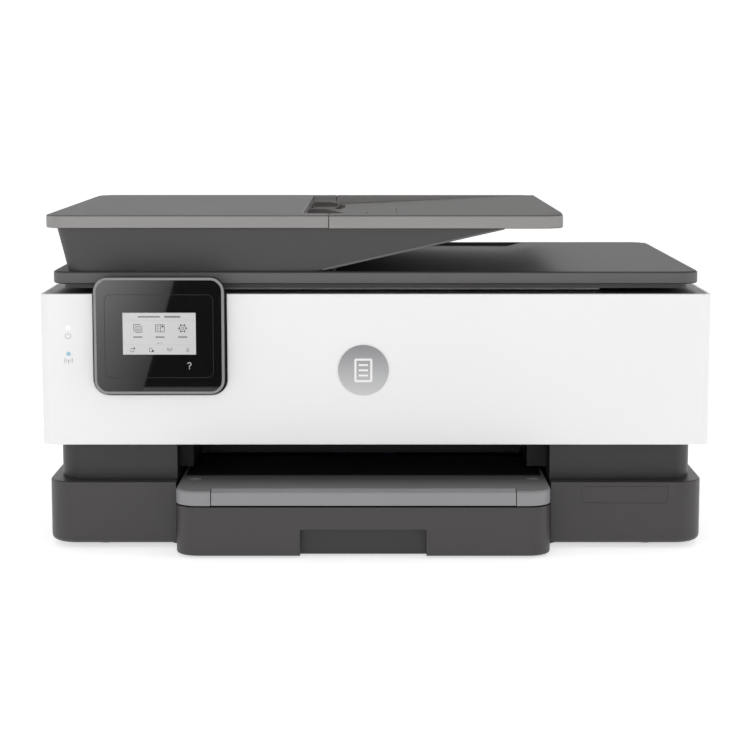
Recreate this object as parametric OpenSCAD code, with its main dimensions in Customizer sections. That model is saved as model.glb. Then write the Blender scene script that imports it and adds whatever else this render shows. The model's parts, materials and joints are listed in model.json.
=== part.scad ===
// Desktop inkjet printer with a flatbed scanner and a sheet feeder, in millimetres.
// X runs to the right, Y to the rear and Z up. The origin is at the middle of the footprint, on the table.

/* [Body] */
// Width of the white band
body_w = 460; // [440:1:560]
// Depth of the casing, from the front door's face to the rear cover's face
body_d = 306; // [300:1:370]
// Height of the rubber feet
foot_h = 3.5; // [3:0.1:5]
// Radius of a rubber foot
foot_r = 9; // [6:0.5:12]
// Height of the lower case
base_h = 43.5; // [43:0.5:55]
// How far the lower case stands inside the white band on each side
base_inset = 2.7; // [1:0.1:5]
// Height of the recessed waist above the lower case
waist_h = 26; // [25:0.5:34]
// How far the waist stands inside the white band on each side
waist_inset = 9.7; // [8:0.1:12]
// Depth of the ledge in front of the waist
ledge_d = 13.8; // [12:0.1:18]
// Height of the white band
band_h = 104.5; // [102:0.5:130]
// Corner radius of the white band in front
band_front_r = 6; // [4:0.5:8]
// Corner radius of the white band at the rear
band_rear_r = 10; // [6:0.5:12]
// Corner radius of the lower case
base_r = 20; // [14:1:28]
// Corner radius of the waist
waist_r = 16; // [10:1:20]
// Thickness of the moulded walls
wall = 2.5; // [2:0.1:3]

/* [Paper] */
// Widest sheet of paper
paper_w = 216; // [180:1:224]
// Longest sheet of paper
paper_l = 297; // [279:1:300]
// Middle of the paper path, left of the middle of the body
path_x = -8.4; // [-12:0.1:-4]

/* [Paper tray] */
// How far the tray stands out in front of the casing
tray_reach = 33; // [28:1:45]
// Width of tray beside the paper, on each side
tray_side = 20; // [18:0.5:22]
// Gap between the tray and its bay
bay_gap = 1.9; // [1:0.1:3]
// Height of the tray's front
tray_front_h = 33.8; // [32:0.1:34]
// Corner radius of the tray's front
tray_r = 16; // [10:1:20]
// Thickness of the output tray on top
slab_t = 10.2; // [9:0.1:10.5]
// Width of the output extension
extension_w = 206.4; // [160:1:210]
// Width of the finger notch
notch_w = 86; // [70:1:110]
// Height of the finger notch
notch_h = 18.3; // [14:0.1:20]
// Depth of the finger notch
notch_d = 8; // [6:0.5:12]

/* [Scanner] */
// Gap between the scanner deck and the lid's rim
lid_gap = 5.8; // [5:0.1:8]
// Thickness of the lid
lid_t = 8.7; // [7:0.1:11]
// How far the lid stands inside the band on each side
lid_inset = 6.5; // [5:0.1:10]
// Corner radius of the lid
lid_r = 15; // [8:1:20]
// Depth of the hollow in the lid where the copies land
hollow_d = 2.5; // [0.5:0.1:3]
// Length of the flatbed glass
glass_l = 312; // [304:1:330]
// Width of the flatbed glass
glass_w = 230; // [222:1:240]
// Thickness of the glass
glass_t = 3; // [2:0.1:4]
// Height of the scanner's pan below its deck
pan_h = 26; // [24:0.5:30]

/* [Sheet feeder] */
// Height of the feeder's body between the lid and the rim
feeder_h = 29.8; // [28:0.1:36]
// Height of the rim round the feeder's top
rim_h = 9.2; // [8:0.1:12]
// Height that the input tray's end rises above the rim
rise_h = 0.6; // [0.4:0.1:4]
// Distance from the left edge of the band to the left edge of the feeder
feeder_left_inset = 3; // [2:0.1:6]
// Overall length of the feeder
feeder_l = 356.3; // [350:0.5:380]
// Length of the feeder's hinged cover
cover_l = 195; // [190:0.5:210]
// Depth of the notch in the cover, where sheets go in
throat_l = 19; // [14:0.5:24]
// Corner radius of the feeder
feeder_r = 15; // [8:1:20]
// Gap set between the two paper guides
guide_gap = 104; // [90:1:140]
// Radius of the turn roller
turn_r = 11; // [9:0.5:11.5]
// Radius of the pick roller in the feeder
nudge_r = 8.5; // [7:0.1:9]

/* [Control panel] */
// Width of the control panel
panel_w = 89; // [80:0.5:96]
// Height of the control panel
panel_h = 80; // [66:0.5:96]
// Thickness of the control panel
panel_t = 8; // [7:0.1:9]
// Corner radius of the control panel
panel_r = 9.5; // [6:0.5:12]
// Width of the metal rim round the glass
panel_rim = 1.9; // [1.4:0.1:3]
// Middle of the control panel, from the left edge of the band
panel_x_from_left = 82.2; // [70:0.1:120]
// How far the control panel's top stands above the band
panel_over = 11.8; // [8:0.1:12]
// Width of the display
screen_w = 49.9; // [40:0.1:56]
// Height of the display
screen_h = 28.7; // [22:0.1:32]

/* [Print engine] */
// Teeth of the feed and exit gears
gear_teeth = 60; // [50:2:60]
// Teeth of the motor's pinion
pinion_teeth = 18; // [18:2:20]
// Module of the gears
gear_module = 0.9; // [0.85:0.01:0.92]
// Radius of the feed roller
feed_r = 6; // [5:0.1:6.5]
// Radius of the exit roller's tyres
tyre_r = 6; // [5:0.1:6.5]
// Width of one ink cartridge
cartridge_w = 20; // [16:0.5:21]
// Length of one ink cartridge
cartridge_l = 76; // [60:1:80]
// Height of one ink cartridge
cartridge_h = 46; // [36:0.5:48]
// Distance from one cartridge to the next
cartridge_pitch = 23; // [22.5:0.5:25]
// Radius of the carriage's guide rod
rod_r = 4; // [3:0.1:5]
// Radius of the belt pulleys
pulley_r = 7; // [5:0.1:8]

/* [Fits] */
// Radial clearance of a turning shaft
shaft_clear = 0.05; // [0.02:0.01:0.09]
// Gap at the seams between covers
seam = 0.6; // [0.4:0.05:1]
// Gap under parts that slide
slide_clear = 0.3; // [0.3:0.05:0.6]

/* [Hidden] */
$fn = 64;
eps = 0.01;
paper_margin = 6;
rear_bulge = 2;
total_d = tray_reach + body_d + rear_bulge;
half_w = body_w / 2;
tray_front_y = -total_d / 2;
front_y = tray_front_y + tray_reach;
rear_y = front_y + body_d;

// Heights of the storeys, from the table up
ledge_z = foot_h + base_h;
band_z = ledge_z + waist_h;
deck_z = band_z + band_h;
lid_z = deck_z + lid_gap;
lid_top = lid_z + lid_t;
rim_z = lid_top + feeder_h;
rim_top = rim_z + rim_h;
top_z = rim_top + rise_h;

// Lower case, waist and bay
base_half = half_w - base_inset;
waist_half = half_w - waist_inset;
waist_front = front_y + ledge_d;
case_rear = rear_y - 2.7;
floor_z = foot_h + wall;
path_half = paper_w / 2;
tray_x0 = path_x - path_half - tray_side;
tray_x1 = path_x + path_half + tray_side;
bay_x0 = tray_x0 - bay_gap;
bay_x1 = tray_x1 + bay_gap;
bin_wall = 2;
bin_z = floor_z + slide_clear;
head_z = foot_h - 1.8;
head_top = head_z + tray_front_h;
bin_top = head_top - 2.5;
bin_front = tray_front_y + notch_d + bin_wall;
bin_rear = bin_front + paper_l + paper_margin + bin_wall;
bay_rear = bin_rear + 2;
slab_z = head_top + 0.8;
slab_rear = front_y + 104;
cheek_x0 = bay_x0 + 9;
cheek_x1 = bay_x1 - 14;
cheek_y = front_y + 40;
cheek_z = ledge_z + 4;
extension_x0 = path_x + 0.2 - extension_w / 2;
extension_x1 = extension_x0 + extension_w;
lip_d = 10;
tongue_z = [slab_z + 3.5, slab_z + 7];
foot_x = half_w - 40;
foot_y = [front_y + 27, rear_y - 28];
plate_x0 = base_half - 84.5;
plate_x1 = base_half - 24.6;
plate_z0 = ledge_z - 15;
plate_z1 = ledge_z - 2.8;

// Front door and its hinge
door_hinge_y = front_y + 7;
door_hinge_z = band_z + 3;
door_return = 12.3;
side_front_y = front_y + 13.5;
door_pin_r = 2;
door_lug_r = 3.5;
door_lug_x = half_w - 26;
light_x = -half_w + 19.2;
light_z = [deck_z - 23.3, deck_z - 41.3];
light_r = 1.45;
badge_r = 17.4;
badge_z = band_z + 51.9;

// Control panel and its hinge
panel_x = -half_w + panel_x_from_left;
panel_x0 = panel_x - panel_w / 2;
panel_x1 = panel_x + panel_w / 2;
panel_z1 = deck_z + panel_over;
panel_z0 = panel_z1 - panel_h;
panel_front = front_y - 7;
panel_back = panel_front + panel_t;
panel_hinge_y = panel_back + 3;
panel_hinge_z = panel_z1 - 5.8;
panel_lug_x = 30;
panel_pin_r = 1.4;
notch_gap = 1.5;
bracket_front = front_y + 4;
bracket_t = 2.5;
bracket_edge = 6;
screen_x = panel_x + 0.2;
screen_z = panel_z0 + 41.6;

// Scanner
lid_half = half_w - lid_inset;
lid_front = front_y + 10;
lid_rear = rear_y - 1;
skirt_inset = 7.5;
skirt_z = lid_z - 3.3;
deck_edge = 2.8;
deck_t = 5;
glass_x0 = -160;
glass_x1 = glass_x0 + glass_l;
glass_y0 = front_y + 27.5;
glass_y1 = glass_y0 + glass_w;
glass_z = deck_z - 1 - glass_t;
strip_x0 = glass_x0 - 32;
strip_x1 = glass_x0 - 12;
seat = 4;
pan_z = deck_z - deck_t - pan_h;
pan_wall = 1.5;
pan_x0 = strip_x0 - 8;
pan_x1 = glass_x1 + 8;
bar_w = 18;
bar_x0 = strip_x0 + 1;
scan_rod_y = (glass_y0 + glass_y1) / 2;
scan_rod_z = pan_z + 8;
scan_rod_r = 3;
lid_hinge_y = lid_rear - 3.5;
lid_hinge_z = deck_z + 2.9;
lid_hinge_x = 150;
lid_pin_r = 2.3;
post_r = 4;
knuckle_w = 8;
post_w = 6;
pocket_r = 5.3;

// Sheet feeder
feeder_x0 = -half_w + feeder_left_inset;
feeder_x1 = feeder_x0 + feeder_l;
feeder_front = front_y + 4;
feeder_rear = rear_y - 3.5;
cover_x1 = feeder_x0 + cover_l;
throat_x = cover_x1 - throat_l;
sheet_y = (feeder_front + feeder_rear) / 2 + 2.2;
throat_y0 = sheet_y - path_half - 18;
throat_y1 = sheet_y + path_half + 23;
ramp_low = rim_z + 2.2;
ramp_t = 2;
ramp_slope = (top_z - ramp_low) / (feeder_x1 - throat_x);
guide_lift = 6.2;
guide_t = 2;
guide_base = 12;
guide_l = 26;
cover_hinge_x = feeder_x0 + 5;
cover_hinge_z = rim_z + 2.2;
cover_lug_r = 2.2;
cover_pin_r = 1.2;
cover_lug_y = [feeder_front + 40, feeder_rear - 40];
turn_x = feeder_x0 + 37;
turn_z = lid_top + 4.5 + turn_r;
pick_x = throat_x - 24;
pick_z = ramp_low + 1 - nudge_r;
feeder_shaft_r = 3;
feeder_plate_t = 2.5;
feeder_plate_y = [throat_y0 - 4, throat_y1 - 7];
feeder_belt_y = feeder_plate_y[1] + 5;
feeder_pulley_r = 7;
underside_x0 = throat_x + 14.5;
underside_x1 = feeder_x1 - 31;
hollow_x0 = throat_x + 22;
hollow_x1 = feeder_x1 - 9;
hollow_slope = 12;
hollow_edge = 7;

// Print engine
frame_x = half_w - 23;
frame_t = 2;
frame_y0 = front_y + 100;
frame_y1 = front_y + 225;
frame_top = band_z + 72;
gear_z = band_z + 4;
feed_y = front_y + 182.5;
gear_r = gear_module * gear_teeth / 2;
pinion_r = gear_module * pinion_teeth / 2;
centre_gap = gear_r + pinion_r;
pinion_y = feed_y - centre_gap;
exit_y = pinion_y - centre_gap;
gear_t = 5;
gear_x = -frame_x - frame_t - 1.5 - gear_t;
gear_slot = [gear_x - 1.3, exit_y - gear_r - 3, feed_y + gear_r + 3];
shaft_r = 3;
pinion_shaft_r = 1.5;
path_z = gear_z + feed_r;
platen_half = path_half + paper_margin;
carriage_z = path_z + 2;
carriage_w = 4 * cartridge_pitch + 4;
carriage_rear = front_y + 165.5;
carriage_front = carriage_rear - cartridge_l - 30;
carriage_x = half_w - 90;
carriage_wall = 2;
cartridge_z = carriage_z + 5;
cartridge_y0 = carriage_front + 4;
carriage_side = cartridge_z + cartridge_h * 0.6;
rod_y = feed_y - 9;
rod_z = carriage_z + 15;
belt_y = rod_y + 12;
belt_z = carriage_z + 40;
belt_w = 6;
belt_t = 1;
pulley_x = half_w - 40;
pulley_shaft_r = 1.5;
rail_y = belt_y + 8;
rail_t = 1.5;
arm_pivot_y = bin_rear - 10;
arm_pivot_z = band_z - 13;
arm_l = 63;
arm_drop = 14;
arm_half = 12;
arm_roller_r = 8;
arm_shaft_r = 2;
arm_hanger_x = arm_half + 20;
duplex_half = path_half + 8;
duplex_rib_gap = (duplex_half - 20) / 4;
duplex_z0 = ledge_z + 6;
duplex_z1 = duplex_z0 + 75;
duplex_t = 2.4;
duplex_hinge_y = rear_y - 2;
duplex_hinge_z = duplex_z0 + 2;
duplex_pin_r = 1.8;
inlet_x = half_w - 62;
inlet_z = floor_z + 18;
port_x = -half_w + 50;
port_z = floor_z + 16;
button_x = half_w - 65;
button_z = band_z + 60;
button_r = 6;
screw_r = 1.5;
screw_head_r = 2.9;
screws = [for (x = [-205, 205]) for (z = [band_z + 12, deck_z - 14]) [x, z]];

function ramp_z(x) = ramp_low + (x - throat_x) * ramp_slope;

// Box between two corners
module box(lo, hi) {
    translate(lo) cube(hi - lo);
}

// Flat outline with one corner radius in front and another at the rear
module outline(x0, y0, x1, y1, front_r, rear_r) {
    translate([x0, y0 + front_r]) square([x1 - x0, y1 - y0 - front_r - rear_r]);
    translate([x0 + front_r, y0]) square([x1 - x0 - 2 * front_r, front_r + eps]);
    translate([x0 + rear_r, y1 - rear_r - eps]) square([x1 - x0 - 2 * rear_r, rear_r + eps]);
    for (x = [x0 + front_r, x1 - front_r]) translate([x, y0 + front_r]) circle(front_r);
    for (x = [x0 + rear_r, x1 - rear_r]) translate([x, y1 - rear_r]) circle(rear_r);
}

// Upright prism on that outline, from z0 to z1
module prism(x0, y0, x1, y1, front_r, rear_r, z0, z1) {
    translate([0, 0, z0]) linear_extrude(z1 - z0) outline(x0, y0, x1, y1, front_r, rear_r);
}

// Plate that faces forward, with equal corners, from y0 to y1
module facia(x0, z0, x1, z1, r, y0, y1) {
    translate([0, y1, 0]) rotate([90, 0, 0]) linear_extrude(y1 - y0) outline(x0, z0, x1, z1, r, r);
}

module rod_along_x(x0, x1, y, z, r) {
    translate([x0, y, z]) rotate([0, 90, 0]) cylinder(r = r, h = x1 - x0);
}

module rod_along_y(y0, y1, x, z, r) {
    translate([x, y1, z]) rotate([90, 0, 0]) cylinder(r = r, h = y1 - y0);
}

// Shape drawn in X and Z, carried from y0 to y1
module carry_y(y0, y1) {
    translate([0, y1, 0]) rotate([90, 0, 0]) linear_extrude(y1 - y0) children();
}

// Shape drawn in Y and Z, carried from x0 to x1
module carry_x(x0, x1) {
    translate([x0, 0, 0]) rotate([90, 0, 90]) linear_extrude(x1 - x0) children();
}

// The white band's wall, all the way round
module band_ring() {
    difference() {
        prism(-half_w, front_y, half_w, rear_y, band_front_r, band_rear_r, band_z, deck_z);
        prism(-half_w + wall, front_y + wall, half_w - wall, rear_y - wall,
            band_front_r - wall, band_rear_r - wall, band_z - 1, deck_z + 1);
    }
}

// Spur gear along X from x, with a tooth pointing along Y turned by phase
module gear(x, y, z, teeth, phase) {
    r = gear_module * teeth / 2;
    tip = r + 0.75 * gear_module;
    root = r - 1.15 * gear_module;
    half_root = 0.25 * PI * gear_module;
    half_tip = 0.11 * PI * gear_module;
    translate([x, y, z]) rotate([90, 0, 90]) linear_extrude(gear_t) {
        circle(root);
        for (i = [0:teeth - 1]) rotate(phase + i * 360 / teeth)
            polygon([[root - 0.3, -half_root], [tip, -half_tip], [tip, half_tip], [root - 0.3, half_root]]);
    }
}

// Closed belt round two pulleys, from y0 to y1
module belt(x0, z0, x1, z1, r, y0, y1) {
    tilt = atan2(z1 - z0, x1 - x0);
    length = sqrt(pow(x1 - x0, 2) + pow(z1 - z0, 2));
    carry_y(y0, y1) translate([x0, z0]) rotate(tilt) difference() {
        union() {
            circle(r + belt_t);
            translate([length, 0]) circle(r + belt_t);
            translate([0, -r - belt_t]) square([length, 2 * (r + belt_t)]);
        }
        circle(r);
        translate([length, 0]) circle(r);
        translate([0, -r]) square([length, 2 * r]);
    }
}

// ---- Casing ----

module base_tub() color("#4c4a4b") difference() {
    union() {
        difference() {
            prism(-base_half, front_y, base_half, case_rear, base_r, base_r, foot_h, ledge_z);
            prism(-base_half + wall, front_y + wall, base_half - wall, case_rear - wall,
                base_r - wall, base_r - wall, floor_z, ledge_z - wall);
            prism(-waist_half + wall, waist_front + wall, waist_half - wall, case_rear - wall,
                waist_r - wall, waist_r - wall, floor_z, ledge_z + 1);
        }
        for (x = [bay_x0 - wall, bay_x1])
            box([x, front_y + base_r / 4, foot_h + 1], [x + wall, bay_rear, ledge_z]);
        box([bay_x0 - wall, bay_rear, foot_h + 1], [bay_x1 + wall, bay_rear + wall, ledge_z]);
    }
    box([bay_x0, front_y - 1, floor_z], [bay_x1, bay_rear, ledge_z + 1]);
    carry_y(front_y - 1, front_y + 0.3) difference() {
        translate([plate_x0, plate_z0]) square([plate_x1 - plate_x0, plate_z1 - plate_z0]);
        translate([plate_x0 + 0.5, plate_z0 + 0.5])
            square([plate_x1 - plate_x0 - 1, plate_z1 - plate_z0 - 1]);
    }
    facia(inlet_x - 12.2, inlet_z - 9.2, inlet_x + 12.2, inlet_z + 9.2, 3, case_rear - wall - 1, case_rear + 1);
    box([port_x - 25, case_rear - wall - 1, port_z - 9], [port_x + 25, case_rear + 1, port_z + 9]);
}

module waist_shell() color("#454344") difference() {
    union() {
        difference() {
            prism(-waist_half, waist_front, waist_half, case_rear, waist_r, waist_r, ledge_z, band_z);
            prism(-waist_half + wall, waist_front + wall, waist_half - wall, case_rear - wall,
                waist_r - wall, waist_r - wall, ledge_z - 1, band_z - wall);
            box([cheek_x0, waist_front - 1, band_z - wall - 1], [cheek_x1, exit_y + 20, band_z + 1]);
            box([path_x - platen_half, feed_y - feed_r - 1, band_z - wall - 1],
                [path_x + platen_half, feed_y + feed_r + 2, band_z + 1]);
            box([path_x - platen_half, bay_rear - 3, band_z - wall - 1],
                [path_x + platen_half, case_rear - wall - 0.5, band_z + 1]);
            box([gear_slot[0], gear_slot[1], band_z - wall - 1], [-frame_x + 21, gear_slot[2], band_z + 1]);
        }
        for (x = [bay_x0 - wall, bay_x1])
            box([x, waist_front + eps, ledge_z], [x + wall, cheek_y + wall, band_z - 1]);
        box([bay_x0 - 1, cheek_y, cheek_z], [cheek_x0, cheek_y + wall, band_z - 1]);
        box([cheek_x1, cheek_y, cheek_z], [bay_x1 + 1, cheek_y + wall, band_z - 1]);
        for (x = [cheek_x0 - wall, cheek_x1]) box([x, cheek_y, cheek_z], [x + wall, exit_y + 20, band_z - 1]);
        for (s = [-1, 1]) door_lug(s * door_lug_x);
        for (s = [-1, 1]) box([path_x + s * arm_hanger_x - 2, arm_pivot_y - 5, arm_pivot_z - 5],
            [path_x + s * arm_hanger_x + 2, arm_pivot_y + 5, band_z - 1]);
        for (s = [-1, 1]) box([s * (duplex_half + 4) - 3, case_rear - wall, duplex_hinge_z - 3],
            [s * (duplex_half + 4) + 3, duplex_hinge_y + 2.8, duplex_hinge_z + 3]);
        for (s = [-1, 1]) rod_along_x(s * (duplex_half + 4) - 3, s * (duplex_half + 4) + 3,
            duplex_hinge_y, duplex_hinge_z, 3);
    }
    box([bay_x0, waist_front - 1, ledge_z - 1], [bay_x1, waist_front + wall + 1, band_z + 1]);
    for (s = [-1, 1]) rod_along_x(s * door_lug_x - 4, s * door_lug_x + 4, door_hinge_y, door_hinge_z,
        door_pin_r + shaft_clear);
    box([-duplex_half - seam, case_rear - wall - 1, duplex_z0 - 5],
        [duplex_half + seam, case_rear + 0.1, band_z + 1]);
    rod_along_x(-duplex_half - 8, duplex_half + 8, duplex_hinge_y, duplex_hinge_z, duplex_pin_r + shaft_clear);
    rod_along_x(path_x - arm_hanger_x - 4, path_x + arm_hanger_x + 4, arm_pivot_y, arm_pivot_z,
        arm_shaft_r + shaft_clear);
}

module door_lug(x) {
    rod_along_x(x - 3, x + 3, door_hinge_y, door_hinge_z, door_lug_r);
    box([x - 3, door_hinge_y, door_hinge_z - 3.5], [x + 3, waist_front + 8, door_hinge_z + door_lug_r]);
}

module side_panel(s) color("#ebebeb") intersection() {
    band_ring();
    box([s * half_w - 11, side_front_y, band_z - 1], [s * half_w + 11, rear_y + 1, deck_z + 1]);
}

module left_side_panel() side_panel(-1);

module right_side_panel() side_panel(1);

module rear_cover() color("#3f3e40") difference() {
    intersection() {
        band_ring();
        box([-half_w + 11 + seam, rear_y - wall - 1, band_z - 1], [half_w - 11 - seam, rear_y + 1, deck_z + 1]);
    }
    box([-duplex_half - seam, rear_y - wall - 1, band_z - 2], [duplex_half + seam, rear_y + 1, duplex_z1 + seam]);
    rod_along_y(rear_y - wall - 1, rear_y + 1, button_x, button_z, button_r + slide_clear);
    for (s = screws) rod_along_y(rear_y - wall - 1, rear_y + 1, s[0], s[1], screw_r + 0.1);
    for (s = [-1, 1]) for (i = [0:9])
        box([s * 165 - 24, rear_y - wall - 1, duplex_z1 + 8 + 3.4 * i],
            [s * 165 + 24, rear_y + 1, duplex_z1 + 9.6 + 3.4 * i]);
}

module rubber_feet() color("#2a2a2a") for (s = [-1, 1]) for (y = foot_y)
    translate([s * foot_x, y, 0]) difference() {
        cylinder(r = foot_r, h = foot_h);
        translate([0, 0, -eps]) cylinder(r = foot_r - 3, h = 0.6);
    }

module case_screws() color("#77777a") for (s = screws) difference() {
    union() {
        rod_along_y(rear_y - 8, rear_y + 0.3, s[0], s[1], screw_r);
        rod_along_y(rear_y, rear_y + 1.3, s[0], s[1], screw_head_r);
    }
    for (a = [0, 90]) translate([s[0], rear_y + 1, s[1]]) rotate([0, a, 0]) cube([3.4, 1.2, 0.8], center = true);
}

// ---- Scanner ----

module scanner_frame() color("#59585a") difference() {
    prism(-half_w + deck_edge, front_y + deck_edge, half_w - deck_edge, rear_y - deck_edge,
        band_front_r - deck_edge + 1, band_rear_r - deck_edge, deck_z - deck_t, deck_z);
    for (x = [[glass_x0, glass_x1], [strip_x0, strip_x1]]) {
        box([x[0] - slide_clear, glass_y0 - slide_clear, glass_z],
            [x[1] + slide_clear, glass_y1 + slide_clear, deck_z + 1]);
        box([x[0] + seat, glass_y0 + seat, deck_z - deck_t - 1], [x[1] - seat, glass_y1 - seat, glass_z + 1]);
    }
    box([panel_x0 - bracket_edge - 1, front_y, deck_z - deck_t - 1],
        [panel_x1 + bracket_edge + 1, bracket_front + bracket_t + 0.5, deck_z + 1]);
}

module scanner_glass() color("#c8dcdc", 0.5)
    for (x = [[glass_x0, glass_x1], [strip_x0, strip_x1]])
        box([x[0], glass_y0, glass_z], [x[1], glass_y1, glass_z + glass_t]);

module scanner_pan() color("#333335") difference() {
    box([pan_x0, glass_y0 - 6, pan_z], [pan_x1, glass_y1 + 6, deck_z - deck_t]);
    box([pan_x0 + pan_wall, glass_y0 - 6 + pan_wall, pan_z + pan_wall],
        [pan_x1 - pan_wall, glass_y1 + 6 - pan_wall, deck_z]);
    rod_along_x(pan_x0 - 1, pan_x1 + 1, scan_rod_y, scan_rod_z, scan_rod_r);
}

module scan_bar() color("#1c1c1e") difference() {
    union() {
        box([bar_x0, glass_y0 + 2, glass_z - 12], [bar_x0 + bar_w, glass_y1 - 2, glass_z - 2]);
        box([bar_x0, scan_rod_y - 8, scan_rod_z - 5], [bar_x0 + bar_w, scan_rod_y + 8, glass_z - 10]);
    }
    rod_along_x(bar_x0 - 1, bar_x0 + bar_w + 1, scan_rod_y, scan_rod_z, scan_rod_r + shaft_clear);
    box([bar_x0 + 4, glass_y0 + 8, glass_z - 3.5], [bar_x0 + bar_w - 4, glass_y1 - 8, glass_z]);
}

// ---- Front door and control panel ----

module front_door() color("#ebebeb") {
    difference() {
        intersection() {
            band_ring();
            box([-half_w - 1, front_y - 1, band_z - 1], [half_w + 1, front_y + door_return, deck_z + 1]);
        }
        box([panel_x0 - notch_gap, front_y - 1, panel_z0 - notch_gap + panel_r],
            [panel_x1 + notch_gap, front_y + wall + 1, deck_z + 2]);
        facia(panel_x0 - notch_gap, panel_z0 - notch_gap, panel_x1 + notch_gap, deck_z + 20, panel_r + notch_gap,
            front_y - 1, front_y + wall + 1);
        for (z = light_z) rod_along_y(front_y - 1, front_y + wall + 1, light_x, z, light_r);
    }
    for (s = [-1, 1]) for (side = [-1, 1]) {
        x = s * door_lug_x + side * 4.8;
        box([x - 1.5, front_y + wall - eps, door_hinge_z - 2.5], [x + 1.5, door_hinge_y + 2.5, door_hinge_z + 2.5]);
    }
    for (s = [-1, 1]) rod_along_x(s * door_lug_x - 6.3, s * door_lug_x + 6.3, door_hinge_y, door_hinge_z,
        door_pin_r);
}

module badge() color("#b0b0b0") rod_along_y(front_y - 0.8, front_y, path_x, badge_z, badge_r);

module status_lights() color("#f4f8ff") for (z = light_z)
    rod_along_y(front_y - 0.25, front_y + wall, light_x, z, light_r);

module panel_bracket() color("#1a1a1b") difference() {
    union() {
        box([panel_x0 - bracket_edge, bracket_front, panel_z0 - bracket_edge],
            [panel_x1 + bracket_edge, bracket_front + bracket_t, deck_z - 0.2]);
        for (s = [-1, 1]) {
            x = panel_x + s * panel_lug_x;
            box([x - 3, panel_hinge_y - 1, deck_z - 4], [x + 3, panel_hinge_y + 2.4, panel_hinge_z]);
            rod_along_x(x - 3, x + 3, panel_hinge_y, panel_hinge_z, 2.6);
        }
    }
    for (s = [-1, 1]) rod_along_x(panel_x + s * panel_lug_x - 4, panel_x + s * panel_lug_x + 4,
        panel_hinge_y, panel_hinge_z, panel_pin_r + shaft_clear);
}

module panel_bezel() color("#8a8a8a") {
    difference() {
        facia(panel_x0, panel_z0, panel_x1, panel_z1, panel_r, panel_front, panel_back);
        facia(panel_x0 + panel_rim, panel_z0 + panel_rim, panel_x1 - panel_rim, panel_z1 - panel_rim,
            panel_r - panel_rim, panel_front - 1, panel_front + 2.2);
        box([panel_x0 + 12, panel_front + 2, panel_z0 + 10], [panel_x1 - 12, panel_back - 1.5, panel_z1 - 10]);
    }
    for (s = [-1, 1]) for (side = [-1, 1]) {
        x = panel_x + s * panel_lug_x + side * 4.8;
        box([x - 1.5, panel_back - eps, panel_hinge_z - 2], [x + 1.5, panel_hinge_y + 2, panel_hinge_z + 2]);
    }
    for (s = [-1, 1]) rod_along_x(panel_x + s * panel_lug_x - 6.3, panel_x + s * panel_lug_x + 6.3,
        panel_hinge_y, panel_hinge_z, panel_pin_r);
}

module panel_glass() color("#171717") difference() {
    edge = panel_rim + shaft_clear;
    facia(panel_x0 + edge, panel_z0 + edge, panel_x1 - edge, panel_z1 - edge, panel_r - edge,
        panel_front + 0.2, panel_front + 2.2);
    box([screen_x - screen_w / 2, panel_front - 1, screen_z - screen_h / 2],
        [screen_x + screen_w / 2, panel_front + 3, screen_z + screen_h / 2]);
}

module display_screen() color("#dcdcdc")
    box([screen_x - screen_w / 2, panel_front + 0.3, screen_z - screen_h / 2],
        [screen_x + screen_w / 2, panel_front + 2.2, screen_z + screen_h / 2]);

// ---- Scanner lid ----

module scanner_lid() color("#5f5d5e") {
    difference() {
        union() {
            prism(-lid_half, lid_front, lid_half, lid_rear, lid_r, lid_r, lid_z, lid_top);
            prism(-lid_half + skirt_inset, lid_front + skirt_inset, lid_half - skirt_inset, lid_hinge_y - 7,
                lid_r - skirt_inset, lid_r - skirt_inset, skirt_z, lid_z + 1);
        }
        prism(-lid_half + skirt_inset + 2, lid_front + skirt_inset + 2, lid_half - skirt_inset - 2, lid_hinge_y - 9,
            lid_r - skirt_inset - 2, lid_r - skirt_inset - 2, skirt_z - 1, lid_z + 2);
        for (s = [-1, 1]) rod_along_x(s * lid_hinge_x - knuckle_w / 2 - post_w - 1,
            s * lid_hinge_x + knuckle_w / 2 + post_w + 1, lid_hinge_y, lid_hinge_z, pocket_r);
        carry_y(lid_front + hollow_edge, lid_rear - hollow_edge) polygon([[hollow_x0, lid_top + 1],
            [hollow_x0, lid_top - hollow_d], [hollow_x1 - hollow_slope, lid_top - hollow_d],
            [hollow_x1, lid_top], [hollow_x1, lid_top + 1]]);
    }
    for (s = [-1, 1]) {
        x0 = s * lid_hinge_x - knuckle_w / 2 + slide_clear;
        x1 = s * lid_hinge_x + knuckle_w / 2 - slide_clear;
        box([x0, lid_hinge_y - 2, lid_hinge_z], [x1, lid_hinge_y + 2, lid_hinge_z + pocket_r + 0.5]);
        rod_along_x(x0 - post_w - 0.5, x1 + post_w + 0.5, lid_hinge_y, lid_hinge_z, lid_pin_r);
    }
}

module lid_backing() color("#f2f2f0")
    box([strip_x0 - 4, glass_y0 - 4, deck_z + 0.8], [glass_x1 + 4, glass_y1 + 4, lid_z + 2]);

module lid_hinges() color("#2c2c2d") for (s = [-1, 1]) for (side = [-1, 1]) {
    x = s * lid_hinge_x + side * (knuckle_w + post_w) / 2;
    difference() {
        union() {
            box([x - post_w / 2, lid_hinge_y - post_r, deck_z], [x + post_w / 2, lid_hinge_y + post_r, lid_hinge_z]);
            rod_along_x(x - post_w / 2, x + post_w / 2, lid_hinge_y, lid_hinge_z, post_r);
        }
        rod_along_x(x - post_w, x + post_w, lid_hinge_y, lid_hinge_z, lid_pin_r + shaft_clear);
        box([x - post_w, lid_hinge_y - 2 * post_r, deck_z - 3], [x + post_w, lid_hinge_y + 2 * post_r, deck_z]);
    }
}

// ---- Sheet feeder ----

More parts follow.
